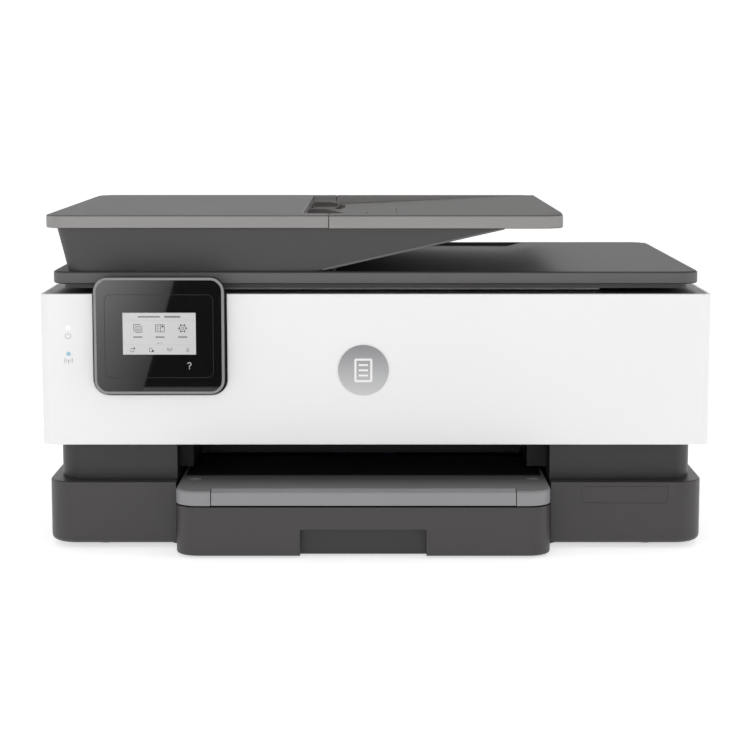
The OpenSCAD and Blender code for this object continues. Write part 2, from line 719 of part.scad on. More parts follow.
// Outside of the feeder's body, which leans outwards from the lid up to the rim, drawn in by inset
module feeder_form(inset) {
    hull() {
        prism(feeder_x0 + 14 + inset, feeder_front + 9 + inset, feeder_x1 - 4 - inset, feeder_rear - 5 - inset,
            feeder_r - 4, feeder_r - 4, lid_top - inset / 4, lid_top + 0.5);
        prism(feeder_x0 + 7.2 + inset, feeder_front + 4 + inset, feeder_x1 - 4 - inset, feeder_rear - 2 - inset,
            feeder_r - 2, feeder_r - 2, rim_z - 0.5, rim_z + inset);
    }
}

module adf_body() color("#3a3839") difference() {
    union() {
        difference() {
            feeder_form(0, $fn = 32);
            translate([0, 0, wall]) feeder_form(wall, $fn = 32);
        }
        for (y = feeder_plate_y) box([feeder_x0 + 19, y, lid_top + 1], [throat_x - 10, y + feeder_plate_t, rim_z - 2]);
        intersection() {
            feeder_form(0, $fn = 32);
            carry_y(feeder_front, feeder_rear)
                polygon([[underside_x0, lid_top], [underside_x1, rim_z], [underside_x1, rim_z + 1],
                    [underside_x1 - 6, rim_z + 1], [underside_x0 - 6, lid_top + 3], [underside_x0 - 6, lid_top]]);
        }
        for (y = cover_lug_y) {
            rod_along_y(y - 3, y + 3, cover_hinge_x, cover_hinge_z, cover_lug_r);
            box([cover_hinge_x, y - 3, cover_hinge_z - 1.8], [cover_hinge_x + 8, y + 3, cover_hinge_z + 1]);
            box([cover_hinge_x + 4, y - 3, rim_z - 6], [cover_hinge_x + 8, y + 3, cover_hinge_z + 1]);
        }
    }
    carry_y(feeder_front - 1, feeder_rear + 1)
        polygon([[underside_x0 + 0.01, lid_top - 1], [underside_x0 + 0.01, lid_top], [underside_x1 + 0.01, rim_z + 2],
            [feeder_x1 + 1, rim_z + 2], [feeder_x1 + 1, lid_top - 1]]);
    rod_along_y(feeder_plate_y[0] - 1, feeder_plate_y[1] + feeder_plate_t + 1, turn_x, turn_z,
        feeder_shaft_r + shaft_clear);
    rod_along_y(feeder_plate_y[0] - 1, feeder_plate_y[1] + feeder_plate_t + 1, pick_x, pick_z,
        feeder_shaft_r + shaft_clear);
    for (y = cover_lug_y) rod_along_y(y - 4, y + 4, cover_hinge_x, cover_hinge_z, cover_pin_r + shaft_clear);
}

// Hollow under the feeder's cover and rails
module feeder_inside() {
    prism(feeder_x0 + wall, feeder_front + wall, feeder_x1 - wall, feeder_rear - wall,
        feeder_r - wall, feeder_r - wall, rim_z - 1, rim_top - wall);
}

module adf_input_tray() color("#8f8d8b") difference() {
    intersection() {
        prism(feeder_x0, feeder_front, feeder_x1, feeder_rear, feeder_r, feeder_r, rim_z, top_z + 1);
        union() {
            box([cover_x1 + seam / 2, feeder_front, rim_z], [feeder_x1, throat_y0, rim_top]);
            box([cover_x1 + seam / 2, throat_y1, rim_z], [feeder_x1, feeder_rear, rim_top]);
            carry_y(throat_y0 - 1, throat_y1 + 1) polygon([[cover_x1 + seam / 2, ramp_z(cover_x1) - ramp_t],
                [feeder_x1 - wall, top_z - ramp_t], [feeder_x1 - wall, rim_z], [feeder_x1, rim_z],
                [feeder_x1, top_z], [cover_x1 + seam / 2, ramp_z(cover_x1)]]);
            carry_y(throat_y0 + seam, throat_y1 - seam) polygon([[throat_x + seam, ramp_z(throat_x) - ramp_t],
                [cover_x1 + 2, ramp_z(cover_x1 + 2) - ramp_t], [cover_x1 + 2, ramp_z(cover_x1 + 2)],
                [throat_x + seam, ramp_z(throat_x)]]);
        }
    }
    intersection() {
        feeder_inside();
        for (y = [[feeder_front, throat_y0 - wall], [throat_y1 + wall, feeder_rear]])
            box([cover_x1 + seam / 2 + wall, y[0], rim_z - 1], [feeder_x1, y[1], top_z]);
    }
}

module adf_cover() color("#807e80") {
    difference() {
        prism(feeder_x0, feeder_front, feeder_x1, feeder_rear, feeder_r, feeder_r, rim_z + slide_clear, rim_top);
        box([cover_x1 - seam / 2, feeder_front - 1, rim_z - 1], [feeder_x1 + 1, feeder_rear + 1, rim_top + 1]);
        box([throat_x, throat_y0, rim_z - 1], [cover_x1, throat_y1, rim_top + 1]);
        intersection() {
            feeder_inside();
            box([feeder_x0, feeder_front, rim_z - 1], [throat_x - wall, feeder_rear, rim_top]);
        }
    }
    for (y = cover_lug_y) {
        for (side = [-1, 1]) box([cover_hinge_x - 3, y + side * 4.6 - 1.2, cover_hinge_z - 1.8],
            [cover_hinge_x + 3, y + side * 4.6 + 1.2, rim_top - 1]);
        rod_along_y(y - 5.8, y + 5.8, cover_hinge_x, cover_hinge_z, cover_pin_r);
    }
}

// Paper guide that stands on the feeder's ramp; its base reaches away from the sheet
module adf_guide(s) color("#6d6b6c") {
    x0 = throat_x + 1.3;
    x1 = x0 + guide_l;
    y = sheet_y + s * guide_gap / 2;
    carry_y(min(y, y + s * guide_base), max(y, y + s * guide_base))
        polygon([[x0, ramp_z(x0) + slide_clear], [x1, ramp_z(x1) + slide_clear],
            [x1, ramp_z(x1) + slide_clear + 1.2], [x0, ramp_z(x0) + slide_clear + 1.2]]);
    carry_y(min(y, y + s * guide_t), max(y, y + s * guide_t))
        polygon([[x0, ramp_z(x0) + slide_clear], [x1, ramp_z(x1) + slide_clear], [x1, ramp_z(x1) + 2.2],
            [x1 - 14, ramp_z(x0) + guide_lift], [x0 + 2, ramp_z(x0) + guide_lift], [x0, ramp_z(x0) + guide_lift - 2]]);
}

module adf_guide_front() adf_guide(-1);

module adf_guide_rear() adf_guide(1);

module feeder_roller(x, z, r, rows) {
    rod_along_y(feeder_plate_y[0] - 3, feeder_belt_y + 4, x, z, feeder_shaft_r);
    for (y = rows) rod_along_y(y, y + 30, x, z, r);
    rod_along_y(feeder_belt_y, feeder_belt_y + 3, x, z, feeder_pulley_r - shaft_clear);
}

module adf_turn_roller() color("#2b2b2c") feeder_roller(turn_x, turn_z, turn_r,
    [sheet_y - 80, sheet_y - 15, sheet_y + 50]);

module adf_pick_roller() color("#2b2b2c") feeder_roller(pick_x, pick_z, nudge_r, [sheet_y - 15]);

module adf_belt() color("#1b1b1b") belt(turn_x, turn_z, pick_x, pick_z, feeder_pulley_r, feeder_belt_y,
    feeder_belt_y + 3);

// ---- Paper trays ----

module paper_tray() color("#4c4a4b") difference() {
    union() {
        prism(tray_x0, tray_front_y, tray_x1, front_y + 1, tray_r, eps, head_z, head_top);
        box([tray_x0, front_y - 0.6, bin_z], [tray_x1, bin_rear, bin_top]);
    }
    box([tray_x0 + bin_wall, bin_front, bin_z + bin_wall], [tray_x1 - bin_wall, bin_rear - bin_wall, head_top + 1]);
    box([tray_x0 - 1, front_y - 0.6, head_z - 1], [tray_x1 + 1, front_y + 2, bin_z]);
    facia(path_x - notch_w / 2, head_z - 20, path_x + notch_w / 2, head_z + notch_h, 1,
        tray_front_y - 1, tray_front_y + notch_d);
}

module output_tray() color("#88868a") difference() {
    prism(tray_x0, tray_front_y, tray_x1, slab_rear, tray_r, eps, slab_z, slab_z + slab_t);
    box([extension_x0 - seam, tray_front_y - 1, slab_z - 1], [extension_x1 + seam, tray_front_y + lip_d + seam,
        slab_z + slab_t + 1]);
    box([extension_x0 - seam, tray_front_y, tongue_z[0] - slide_clear],
        [extension_x1 + seam, slab_rear - wall, tongue_z[1] + slide_clear]);
    for (x = [tray_x0 + 10.2, tray_x1 - 9.8]) translate([x, front_y + 13.4, slab_z + slab_t + 3.6]) sphere(6);
}

module output_extension() color("#969592") {
    carry_x(extension_x0, extension_x1) polygon([[tray_front_y, slab_z + 0.4], [tray_front_y + lip_d, slab_z + 0.4],
        [tray_front_y + lip_d, slab_z + slab_t + 0.6], [tray_front_y + 4, slab_z + slab_t + 1.3],
        [tray_front_y, slab_z + slab_t - 0.9]]);
    box([extension_x0, tray_front_y + 1, tongue_z[0]], [extension_x1, slab_rear - wall - 1, tongue_z[1]]);
}

module width_guide(s) color("#3d6f8f") {
    x = path_x + s * (path_half + 1);
    y0 = bin_front + 90;
    box([min(x, x + s * 2), y0, bin_z + bin_wall + slide_clear], [max(x, x + s * 2), y0 + 60, bin_top - 3]);
    box([min(x, x - s * 36), y0 + 20, bin_z + bin_wall + slide_clear],
        [max(x, x - s * 36), y0 + 40, bin_z + bin_wall + 1.5]);
}

module width_guide_left() width_guide(-1);

module width_guide_right() width_guide(1);

module length_guide() color("#3d6f8f") {
    y = bin_rear - bin_wall - paper_margin + 1;
    box([path_x - 26, y, bin_z + bin_wall + slide_clear], [path_x + 26, y + 2, bin_top - 3]);
    box([path_x - 12, y - 28, bin_z + bin_wall + slide_clear], [path_x + 12, y + 1, bin_z + bin_wall + 1.5]);
}

// ---- Print engine ----

module engine_frame() color("#a9abad") difference() {
    for (s = [-1, 1]) {
        x0 = min(s * frame_x, s * (frame_x + frame_t));
        box([x0, frame_y0, band_z], [x0 + frame_t, frame_y1, frame_top]);
        xf = min(s * frame_x, s * (frame_x - 12));
        box([xf, rail_y + 6, band_z], [xf + 12, frame_y1, band_z + frame_t]);
    }
    for (y = [feed_y, exit_y]) rod_along_x(-half_w, half_w, y, gear_z, shaft_r + shaft_clear);
    rod_along_x(-half_w, 0, pinion_y, gear_z, pinion_shaft_r + shaft_clear + 1);
    rod_along_x(-half_w, half_w, rod_y, rod_z, rod_r);
}

module platen() color("#2a2a2b") {
    y0 = exit_y + tyre_r + 2;
    y1 = feed_y - feed_r - 2;
    box([path_x - platen_half, y0, band_z], [path_x + platen_half, y1, path_z - 3]);
    for (i = [0:14]) {
        x = path_x - platen_half + 4 + i * (2 * platen_half - 10) / 14;
        box([x, y0, path_z - 4], [x + 2, y1, path_z - 1]);
    }
}

module guide_rail() color("#b4b6b8") difference() {
    union() {
        box([-frame_x, rail_y, band_z], [frame_x, rail_y + rail_t, frame_top]);
        box([-frame_x, rail_y, frame_top - rail_t], [frame_x, rail_y + 14, frame_top]);
    }
    for (s = [-1, 1]) rod_along_y(rail_y - 1, rail_y + rail_t + 1, s * pulley_x, belt_z,
        pulley_shaft_r + shaft_clear);
    for (i = [-3:3]) box([i * 48 - 14, rail_y - 1, band_z + 14], [i * 48 + 14, rail_y + 3, band_z + 26]);
    box([path_x - platen_half, rail_y - 1, band_z - 1], [path_x + platen_half, rail_y + 3, path_z + 2]);
}

module guide_rods() color("#c9cbcd") {
    rod_along_x(-frame_x - frame_t, frame_x + frame_t, rod_y, rod_z, rod_r);
    rod_along_x(pan_x0, pan_x1, scan_rod_y, scan_rod_z, scan_rod_r);
}

module carriage_belt() color("#1d1d1d") belt(-pulley_x, belt_z, pulley_x, belt_z, pulley_r, belt_y - belt_w / 2,
    belt_y + belt_w / 2);

module pulley(x) {
    rod_along_y(belt_y - belt_w / 2, belt_y + belt_w / 2, x, belt_z, pulley_r - shaft_clear);
    rod_along_y(belt_y - belt_w / 2 - 1.2, rail_y + rail_t + 3, x, belt_z, pulley_shaft_r);
    for (y = [belt_y - belt_w / 2 - 1.2, belt_y + belt_w / 2 + 0.2]) rod_along_y(y, y + 1, x, belt_z, pulley_r + 1.6);
}

module drive_pulley() color("#d8d8d4") pulley(pulley_x);

module idler_pulley() color("#d8d8d4") pulley(-pulley_x);

module carriage() color("#2f2f30") difference() {
    union() {
        difference() {
            box([carriage_x - carriage_w / 2, carriage_front, carriage_z],
                [carriage_x + carriage_w / 2, carriage_rear, carriage_side + 14]);
            box([carriage_x - carriage_w / 2 + carriage_wall, carriage_front - 1, cartridge_z - slide_clear],
                [carriage_x + carriage_w / 2 - carriage_wall, carriage_rear - 16, carriage_side + 20]);
        }
        for (i = [-1:1]) box([carriage_x + i * cartridge_pitch - 0.8, carriage_front, cartridge_z - 1],
            [carriage_x + i * cartridge_pitch + 0.8, carriage_rear - 10, cartridge_z + 12]);
        box([carriage_x - carriage_w / 2, carriage_rear - 1, rod_z - 7],
            [carriage_x + carriage_w / 2, rod_y + 6, rod_z + 7]);
        box([carriage_x - 12, carriage_rear - 1, belt_z - pulley_r - 5],
            [carriage_x + 12, belt_y + 4.5, belt_z - pulley_r + 3.5]);
        box([carriage_x - 12, carriage_rear - 1, rod_z + 5], [carriage_x + 12, carriage_rear + 6, belt_z]);
    }
    rod_along_x(carriage_x - carriage_w, carriage_x + carriage_w, rod_y, rod_z, rod_r + shaft_clear);
    box([carriage_x - 20, belt_y - belt_w / 2 - 0.4, belt_z - pulley_r - belt_t - 0.4],
        [carriage_x + 20, belt_y + belt_w / 2 + 0.4, belt_z - pulley_r + 0.4]);
}

module cartridge(place, shade) color("#3b3b3d") {
    x0 = carriage_x + (place - 1.5) * cartridge_pitch - cartridge_w / 2;
    x1 = x0 + cartridge_w;
    difference() {
        box([x0, cartridge_y0, cartridge_z], [x1, cartridge_y0 + cartridge_l, cartridge_z + cartridge_h]);
        box([x0 - 1, cartridge_y0 - 1, cartridge_z + cartridge_h - 9], [x1 + 1, cartridge_y0 + 9,
            cartridge_z + cartridge_h + 1]);
    }
    color(shade) box([x0 + 1.5, cartridge_y0 - 1.2, cartridge_z + 4], [x1 - 1.5, cartridge_y0,
        cartridge_z + cartridge_h - 12]);
}

module cartridge_black() cartridge(0, "#151515");

module cartridge_cyan() cartridge(1, "#1f9fd0");

module cartridge_magenta() cartridge(2, "#d0307f");

module cartridge_yellow() cartridge(3, "#e8c520");

module feed_roller() color("#5a5b5d") {
    rod_along_x(gear_x - 1, frame_x + frame_t + 2, feed_y, gear_z, shaft_r);
    rod_along_x(path_x - path_half - 2, path_x + path_half + 2, feed_y, gear_z, feed_r);
    gear(gear_x, feed_y, gear_z, gear_teeth, 0);
}

module exit_roller() color("#3a3a3c") {
    rod_along_x(gear_x - 1, frame_x + frame_t + 2, exit_y, gear_z, shaft_r);
    for (i = [-3:3]) rod_along_x(path_x + i * 30 - 5, path_x + i * 30 + 5, exit_y, gear_z, tyre_r);
    gear(gear_x, exit_y, gear_z, gear_teeth, 0);
}

module feed_pinion() color("#d8d8d4") {
    rod_along_x(gear_x - 1, -frame_x + 6, pinion_y, gear_z, pinion_shaft_r);
    gear(gear_x, pinion_y, gear_z, pinion_teeth, 180 / pinion_teeth);
}

module drive_motors() color("#8b8d90") difference() {
    union() {
        rod_along_x(-frame_x, -frame_x + 16, pinion_y, gear_z, 11);
        rod_along_y(rail_y + rail_t, rail_y + rail_t + 24, pulley_x, belt_z, 13);
    }
    rod_along_x(-frame_x - 1, -frame_x + 8, pinion_y, gear_z, pinion_shaft_r + shaft_clear);
    rod_along_y(rail_y, rail_y + rail_t + 5, pulley_x, belt_z, pulley_shaft_r + shaft_clear);
}

module service_station() color("#6f7072") {
    x0 = path_x + platen_half + 4;
    difference() {
        box([x0, exit_y + tyre_r + 2, band_z], [frame_x - 6, feed_y - feed_r - 2, carriage_z - 3]);
        box([x0 + 2, exit_y + tyre_r + 4, band_z + 2], [frame_x - 8, feed_y - feed_r - 4, carriage_z]);
    }
    box([x0 + 14, exit_y + 18, band_z + 1], [x0 + 26, feed_y - 18, carriage_z - 1]);
    box([x0 + 40, exit_y + 18, band_z + 1], [x0 + 46, feed_y - 18, carriage_z - 1]);
}

module pick_arm() color("#3c3c3e") difference() {
    union() {
        for (s = [-1, 1]) {
            x = path_x + s * arm_half;
            carry_x(x - 1.5, x + 1.5) polygon([[arm_pivot_y, arm_pivot_z - 5], [arm_pivot_y, arm_pivot_z + 5],
                [arm_pivot_y - arm_l, arm_pivot_z - arm_drop + 5], [arm_pivot_y - arm_l, arm_pivot_z - arm_drop - 5]]);
            rod_along_x(x - 1.5, x + 1.5, arm_pivot_y, arm_pivot_z, 5);
            rod_along_x(x - 1.5, x + 1.5, arm_pivot_y - arm_l, arm_pivot_z - arm_drop, 5);
        }
        box([path_x - arm_half, arm_pivot_y - arm_l / 2 - 6, arm_pivot_z - arm_drop / 2 - 3],
            [path_x + arm_half, arm_pivot_y - arm_l / 2 + 6, arm_pivot_z - arm_drop / 2 + 3]);
        rod_along_x(path_x - arm_half - 24, path_x + arm_half + 24, arm_pivot_y, arm_pivot_z, arm_shaft_r);
    }
    rod_along_x(path_x - 30, path_x + 30, arm_pivot_y - arm_l, arm_pivot_z - arm_drop, arm_shaft_r + shaft_clear);
}

module pick_roller() color("#77787a") {
    y = arm_pivot_y - arm_l;
    z = arm_pivot_z - arm_drop;
    rod_along_x(path_x - arm_half - 3, path_x + arm_half + 3, y, z, arm_shaft_r);
    rod_along_x(path_x - arm_half + 2.5, path_x + arm_half - 2.5, y, z, arm_roller_r);
}

module duplex_door() color("#3f3e40") {
    difference() {
        box([-duplex_half, rear_y + rear_bulge - duplex_t, duplex_z0], [duplex_half, rear_y + rear_bulge, duplex_z1]);
        facia(-25, duplex_z1 - 16, 25, duplex_z1 - 4, 4, rear_y + rear_bulge - 1, rear_y + rear_bulge + 1);
    }
    for (i = [-4:4]) box([i * duplex_rib_gap - 1, rear_y - 9, duplex_z0 + 8],
        [i * duplex_rib_gap + 1, rear_y + rear_bulge - duplex_t + eps, duplex_z1 - 20]);
    for (s = [-1, 1]) {
        box([s * (duplex_half - 2) - 2, duplex_hinge_y - 2, duplex_z0],
            [s * (duplex_half - 2) + 2, rear_y + rear_bulge - duplex_t + eps, duplex_z0 + 4]);
        rod_along_x(s * (duplex_half + 2.5) - 4.5, s * (duplex_half + 2.5) + 4.5, duplex_hinge_y, duplex_hinge_z,
            duplex_pin_r);
    }
}

module main_board() color("#2e6b45") {
    x1 = bay_x0 - wall - 8;
    box([-base_half + 9, front_y + 60, floor_z + 5], [x1, case_rear - 22, floor_z + 6.6]);
    for (i = [0:3]) box([x1 - 28, front_y + 80 + i * 36, floor_z + 6.6], [x1 - 10, front_y + 98 + i * 36, floor_z + 9]);
    for (x = [-base_half + 14, x1 - 6]) for (y = [front_y + 66, case_rear - 30])
        translate([x, y, floor_z]) cylinder(r = 2.5, h = 5);
}

module power_supply() color("#9a9c9e") {
    x0 = bay_x1 + wall + 8;
    difference() {
        box([x0, rear_y - 150, floor_z], [base_half - 12, rear_y - 34, ledge_z - 8]);
        for (i = [0:7]) box([x0 + 10 + i * 9, rear_y - 130, ledge_z - 9.5],
            [x0 + 14 + i * 9, rear_y - 54, ledge_z - 7]);
    }
}

module power_inlet() color("#141414") difference() {
    union() {
        facia(inlet_x - 12, inlet_z - 9, inlet_x + 12, inlet_z + 9, 3, case_rear - 16, case_rear);
        facia(inlet_x - 14.5, inlet_z - 11.5, inlet_x + 14.5, inlet_z + 11.5, 3, case_rear, case_rear + 1.2);
    }
    carry_y(case_rear - 13, case_rear + 2) difference() {
        union() {
            for (s = [-1, 1]) translate([inlet_x + s * 4.2, inlet_z]) circle(5);
            translate([inlet_x - 4.2, inlet_z - 4]) square([8.4, 8]);
        }
        for (s = [-1, 1]) translate([inlet_x + s * 4.2, inlet_z]) circle(1.2);
    }
}

module rear_ports() color("#b9bbbd") for (p = [[-14, 8, 7], [9, 9, 7.5]]) difference() {
    x = port_x + p[0];
    box([x - p[1], case_rear - 16, port_z - p[2]], [x + p[1], case_rear - 0.4, port_z + p[2]]);
    box([x - p[1] + 1, case_rear - 13, port_z - p[2] + 1], [x + p[1] - 1, case_rear, port_z + p[2] - 1]);
}

module power_button() color("#58585a") {
    rod_along_y(rear_y - 6, rear_y + 1.2, button_x, button_z, button_r);
    rod_along_y(rear_y - wall - 3.5, rear_y - wall - 2, button_x, button_z, button_r + 2);
}

base_tub();
waist_shell();
left_side_panel();
right_side_panel();
rear_cover();
rubber_feet();
case_screws();
scanner_frame();
scanner_glass();
scanner_pan();
scan_bar();
front_door();
badge();
status_lights();
panel_bracket();
panel_bezel();
panel_glass();
display_screen();
scanner_lid();
lid_backing();
lid_hinges();
adf_body();
adf_input_tray();
adf_cover();
adf_guide_front();
adf_guide_rear();
adf_turn_roller();
adf_pick_roller();
adf_belt();
paper_tray();
output_tray();
output_extension();
width_guide_left();
width_guide_right();
length_guide();
engine_frame();
platen();
guide_rail();
guide_rods();
carriage_belt();
drive_pulley();
idler_pulley();
carriage();
cartridge_black();
cartridge_cyan();
cartridge_magenta();
cartridge_yellow();
feed_roller();
feed_pinion();
exit_roller();
drive_motors();
service_station();
pick_arm();
pick_roller();
duplex_door();
main_board();
power_supply();
power_inlet();
rear_ports();
power_button();
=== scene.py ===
"""A desktop inkjet printer with a flatbed scanner and a sheet feeder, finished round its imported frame."""
import json
import math

import bpy
import bmesh
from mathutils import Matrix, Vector


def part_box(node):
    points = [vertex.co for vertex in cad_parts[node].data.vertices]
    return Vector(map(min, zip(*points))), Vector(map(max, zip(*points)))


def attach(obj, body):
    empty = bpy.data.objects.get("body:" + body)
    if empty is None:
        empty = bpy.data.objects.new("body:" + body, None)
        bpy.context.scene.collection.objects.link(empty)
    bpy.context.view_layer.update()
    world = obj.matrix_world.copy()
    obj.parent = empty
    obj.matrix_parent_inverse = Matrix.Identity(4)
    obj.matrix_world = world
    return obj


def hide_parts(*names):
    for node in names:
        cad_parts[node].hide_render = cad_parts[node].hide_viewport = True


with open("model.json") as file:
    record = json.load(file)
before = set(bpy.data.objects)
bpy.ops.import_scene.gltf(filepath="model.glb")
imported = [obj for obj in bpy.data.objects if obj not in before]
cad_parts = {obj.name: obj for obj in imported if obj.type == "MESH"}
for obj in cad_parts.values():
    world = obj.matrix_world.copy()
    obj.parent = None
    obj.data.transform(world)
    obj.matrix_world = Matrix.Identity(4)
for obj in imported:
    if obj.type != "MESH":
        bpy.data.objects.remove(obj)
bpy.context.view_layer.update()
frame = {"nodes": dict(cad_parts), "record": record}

MM = 0.001
TURN = math.tau
BODY_OF = {node: body for body, nodes in frame["record"]["behaviour"]["bodies"].items() for node in nodes}
SLOT_OF = {part["node"]: part["material_slot"] for part in frame["record"]["subparts"]}


# ---- Materials ----

def srgb(code):
    """A hex colour as linear red, green, blue and alpha."""
    parts = [int(code[i:i + 2], 16) / 255 for i in (1, 3, 5)]
    return [p / 12.92 if p <= 0.04045 else ((p + 0.055) / 1.055) ** 2.4 for p in parts] + [1.0]


def add(tree, kind, links=None, **settings):
    """Adds one node: settings go to its properties or its input sockets, links maps an input to a socket."""
    item = tree.nodes.new(kind)
    for key, value in settings.items():
        if hasattr(item, key):
            setattr(item, key, value)
        else:
            item.inputs[key.replace("_", " ")].default_value = value
    for key, socket in (links or {}).items():
        tree.links.new(socket, item.inputs[key])
    return item


def new_material(name, colour, roughness, metallic=0.0, ior=1.5, **more):
    """A material with its shader's uniform values set on the shader itself."""
    material = bpy.data.materials.new(name)
    material.use_nodes = True
    shader = material.node_tree.nodes["Principled BSDF"]
    shader.inputs["Base Color"].default_value = srgb(colour)
    shader.inputs["Roughness"].default_value = roughness
    shader.inputs["Metallic"].default_value = metallic
    shader.inputs["IOR"].default_value = ior
    for key, value in more.items():
        shader.inputs[key.replace("_", " ")].default_value = value
    return material, material.node_tree, shader


def drift(tree, place, size_mm, detail, first, second):
    """A slow, cloudy drift between two linear colours."""
    clouds = add(tree, "ShaderNodeTexNoise", {"Vector": place}, Scale=1 / (size_mm * MM), Detail=detail)
    tint = add(tree, "ShaderNodeMix", {"Factor": clouds.outputs["Fac"]}, data_type="RGBA")
    tint.inputs["A"].default_value = first
    tint.inputs["B"].default_value = second
    return tint.outputs["Result"]


def moulded(name, colour, shade, roughness, grain_mm, depth_mm, flow_mm=120):
    """Moulded plastic: an etched grain from the tool, and a faint drift of colour from the melt's flow."""
    material, tree, shader = new_material(name, colour, roughness)
    place = add(tree, "ShaderNodeTexCoord").outputs["Object"]
    tree.links.new(drift(tree, place, flow_mm, 3.0, srgb(colour), srgb(shade)), shader.inputs["Base Color"])
    grain = add(tree, "ShaderNodeTexNoise", {"Vector": place}, Scale=1 / (grain_mm * MM), Detail=2.0,
                Roughness=0.6)
    gloss = add(tree, "ShaderNodeMapRange", {"Value": grain.outputs["Fac"]}, To_Min=roughness - 0.06,
                To_Max=roughness + 0.06)
    tree.links.new(gloss.outputs["Result"], shader.inputs["Roughness"])
    bump = add(tree, "ShaderNodeBump", {"Height": grain.outputs["Fac"]}, Distance=depth_mm * MM, Strength=1.0)
    tree.links.new(bump.outputs["Normal"], shader.inputs["Normal"])
    return material


def drawn_metal(name, colour, roughness, line_mm, stretch, depth_mm):
    """Metal with fine lines along one axis, from rolling, brushing or grinding."""
    material, tree, shader = new_material(name, colour, roughness, metallic=1.0)
    place = add(tree, "ShaderNodeTexCoord").outputs["Object"]
    drawn = add(tree, "ShaderNodeMapping", {"Vector": place}, Scale=stretch)
    lines = add(tree, "ShaderNodeTexNoise", {"Vector": drawn.outputs["Vector"]}, Scale=1 / (line_mm * MM),
                Detail=3.0)
    gloss = add(tree, "ShaderNodeMapRange", {"Value": lines.outputs["Fac"]}, To_Min=roughness - 0.08,
                To_Max=roughness + 0.1)
    tree.links.new(gloss.outputs["Result"], shader.inputs["Roughness"])
    bump = add(tree, "ShaderNodeBump", {"Height": lines.outputs["Fac"]}, Distance=depth_mm * MM, Strength=0.6)
    tree.links.new(bump.outputs["Normal"], shader.inputs["Normal"])
    return material


# Painted-white ABS of the door and sides: satin, with a grain that only softens the reflections.
satin_white_abs = moulded("satin_white_abs", "#f3f3f3", "#efeff0", 0.38, 0.5, 0.004)
# Spark-etched charcoal ABS of the lower case and tray: a matt, pebbly grain.
etched_charcoal_abs = moulded("etched_charcoal_abs", "#3a3738", "#363334", 0.42, 0.7, 0.012)
# The same ABS in the waist and at the back, a shade darker; also painted shade on the back wall of the tray's
# finger notch.
dark_abs_and_painted_shade = moulded("dark_abs_and_painted_shade", "#2a2829", "#262425", 0.42, 0.7, 0.012)
# The feeder's body, and the top of the lid, where it is painted shade, darker than the lid's upright faces.
body_abs_and_painted_shade = moulded("body_abs_and_painted_shade", "#424041", "#3e3c3d", 0.55, 0.7, 0.02)
# The lid's ABS, lighter than the waist's.
etched_lid_abs = moulded("etched_lid_abs", "#5f5d5e", "#5a5859", 0.5, 0.7, 0.02)
# The feeder's sloping floor, a little darker than its rim: a darker copy of the rim's grey, painted shade,
# also on the guides and the sensor flap.
ramp_grey_painted_shade = moulded("ramp_grey_painted_shade", "#5f5d5b", "#5a5856", 0.6, 0.6, 0.014)
# Fine-grained grey ABS of the feeder's hinged cover; on the cover's top it is painted shade, darker than the
# rim's upright faces, and on the rod under the feeder's body a painted highlight.
grey_abs_and_painted_light = moulded("grey_abs_and_painted_light", "#6b696a", "#666465", 0.6, 0.6, 0.014)
# Lighter grey ABS of the feeder's input tray and rim.
etched_warm_grey_abs = moulded("etched_warm_grey_abs", "#92908e", "#8c8a88", 0.46, 0.6, 0.014)
# Light grey ABS of the output tray, polished a little by paper.
smoothed_grey_abs = moulded("smoothed_grey_abs", "#8f8e90", "#89888a", 0.42, 0.6, 0.01)
# Black ABS of the parts inside: matt, so that the bay stays dark; also painted shade on faces in gaps, seams,
# slots and the bay.
black_abs_and_painted_shade = moulded("black_abs_and_painted_shade", "#121213", "#0e0e0f", 0.6, 0.8, 0.015)
# Blue ABS of the guides that a hand moves.
moulded_blue_abs = moulded("moulded_blue_abs", "#3f7090", "#39698a", 0.4, 0.5, 0.008)
# White polystyrene sheet that presses the original on the glass: matt, with a faint orange-peel.
white_polystyrene = moulded("white_polystyrene", "#f1f1ef", "#ececea", 0.5, 1.2, 0.01)
# Moulded nitrile rubber of feet and rollers: matt, with a dry bloom.
moulded_rubber = moulded("moulded_rubber", "#2b2b2b", "#333232", 0.75, 0.5, 0.02, 25)
# Belts are the same rubber, blacker from their carbon.
carbon_rubber = moulded("carbon_rubber", "#181818", "#1f1f1f", 0.65, 0.4, 0.01, 20)
# Natural acetal of gears and pulleys: milky, with a waxy gloss.
natural_acetal = moulded("natural_acetal", "#deded8", "#d6d6cf", 0.36, 0.8, 0.004)
# Solder mask over the board's glass weave: green and glossy.
solder_mask = moulded("solder_mask", "#23603f", "#1d5437", 0.28, 1.0, 0.01, 30)
# Polypropylene of the cartridges and their coloured faces.
cartridge_black_pp = moulded("cartridge_black_pp", "#1c1c1d", "#222223", 0.42, 0.5, 0.006)
face_black_pp = moulded("face_black_pp", "#303032", "#2a2a2c", 0.35, 0.5, 0.004)
face_cyan_pp = moulded("face_cyan_pp", "#1c97c8", "#198fbf", 0.35, 0.5, 0.004)
face_magenta_pp = moulded("face_magenta_pp", "#c92f78", "#c02a71", 0.35, 0.5, 0.004)
face_yellow_pp = moulded("face_yellow_pp", "#e6c324", "#dfbb1d", 0.35, 0.5, 0.004)
# Printed marks: a thin, matt film of grey ink on the plastic.
grey_ink = moulded("grey_ink", "#b9babc", "#b2b3b5", 0.5, 0.3, 0.002, 10)
light_ink = moulded("light_ink", "#d9d9d9", "#d2d2d2", 0.5, 0.3, 0.002, 10)
# Coated paper of a blank rating label.
coated_paper = moulded("coated_paper", "#d6d6d4", "#cfcfcd", 0.55, 0.4, 0.003, 30)

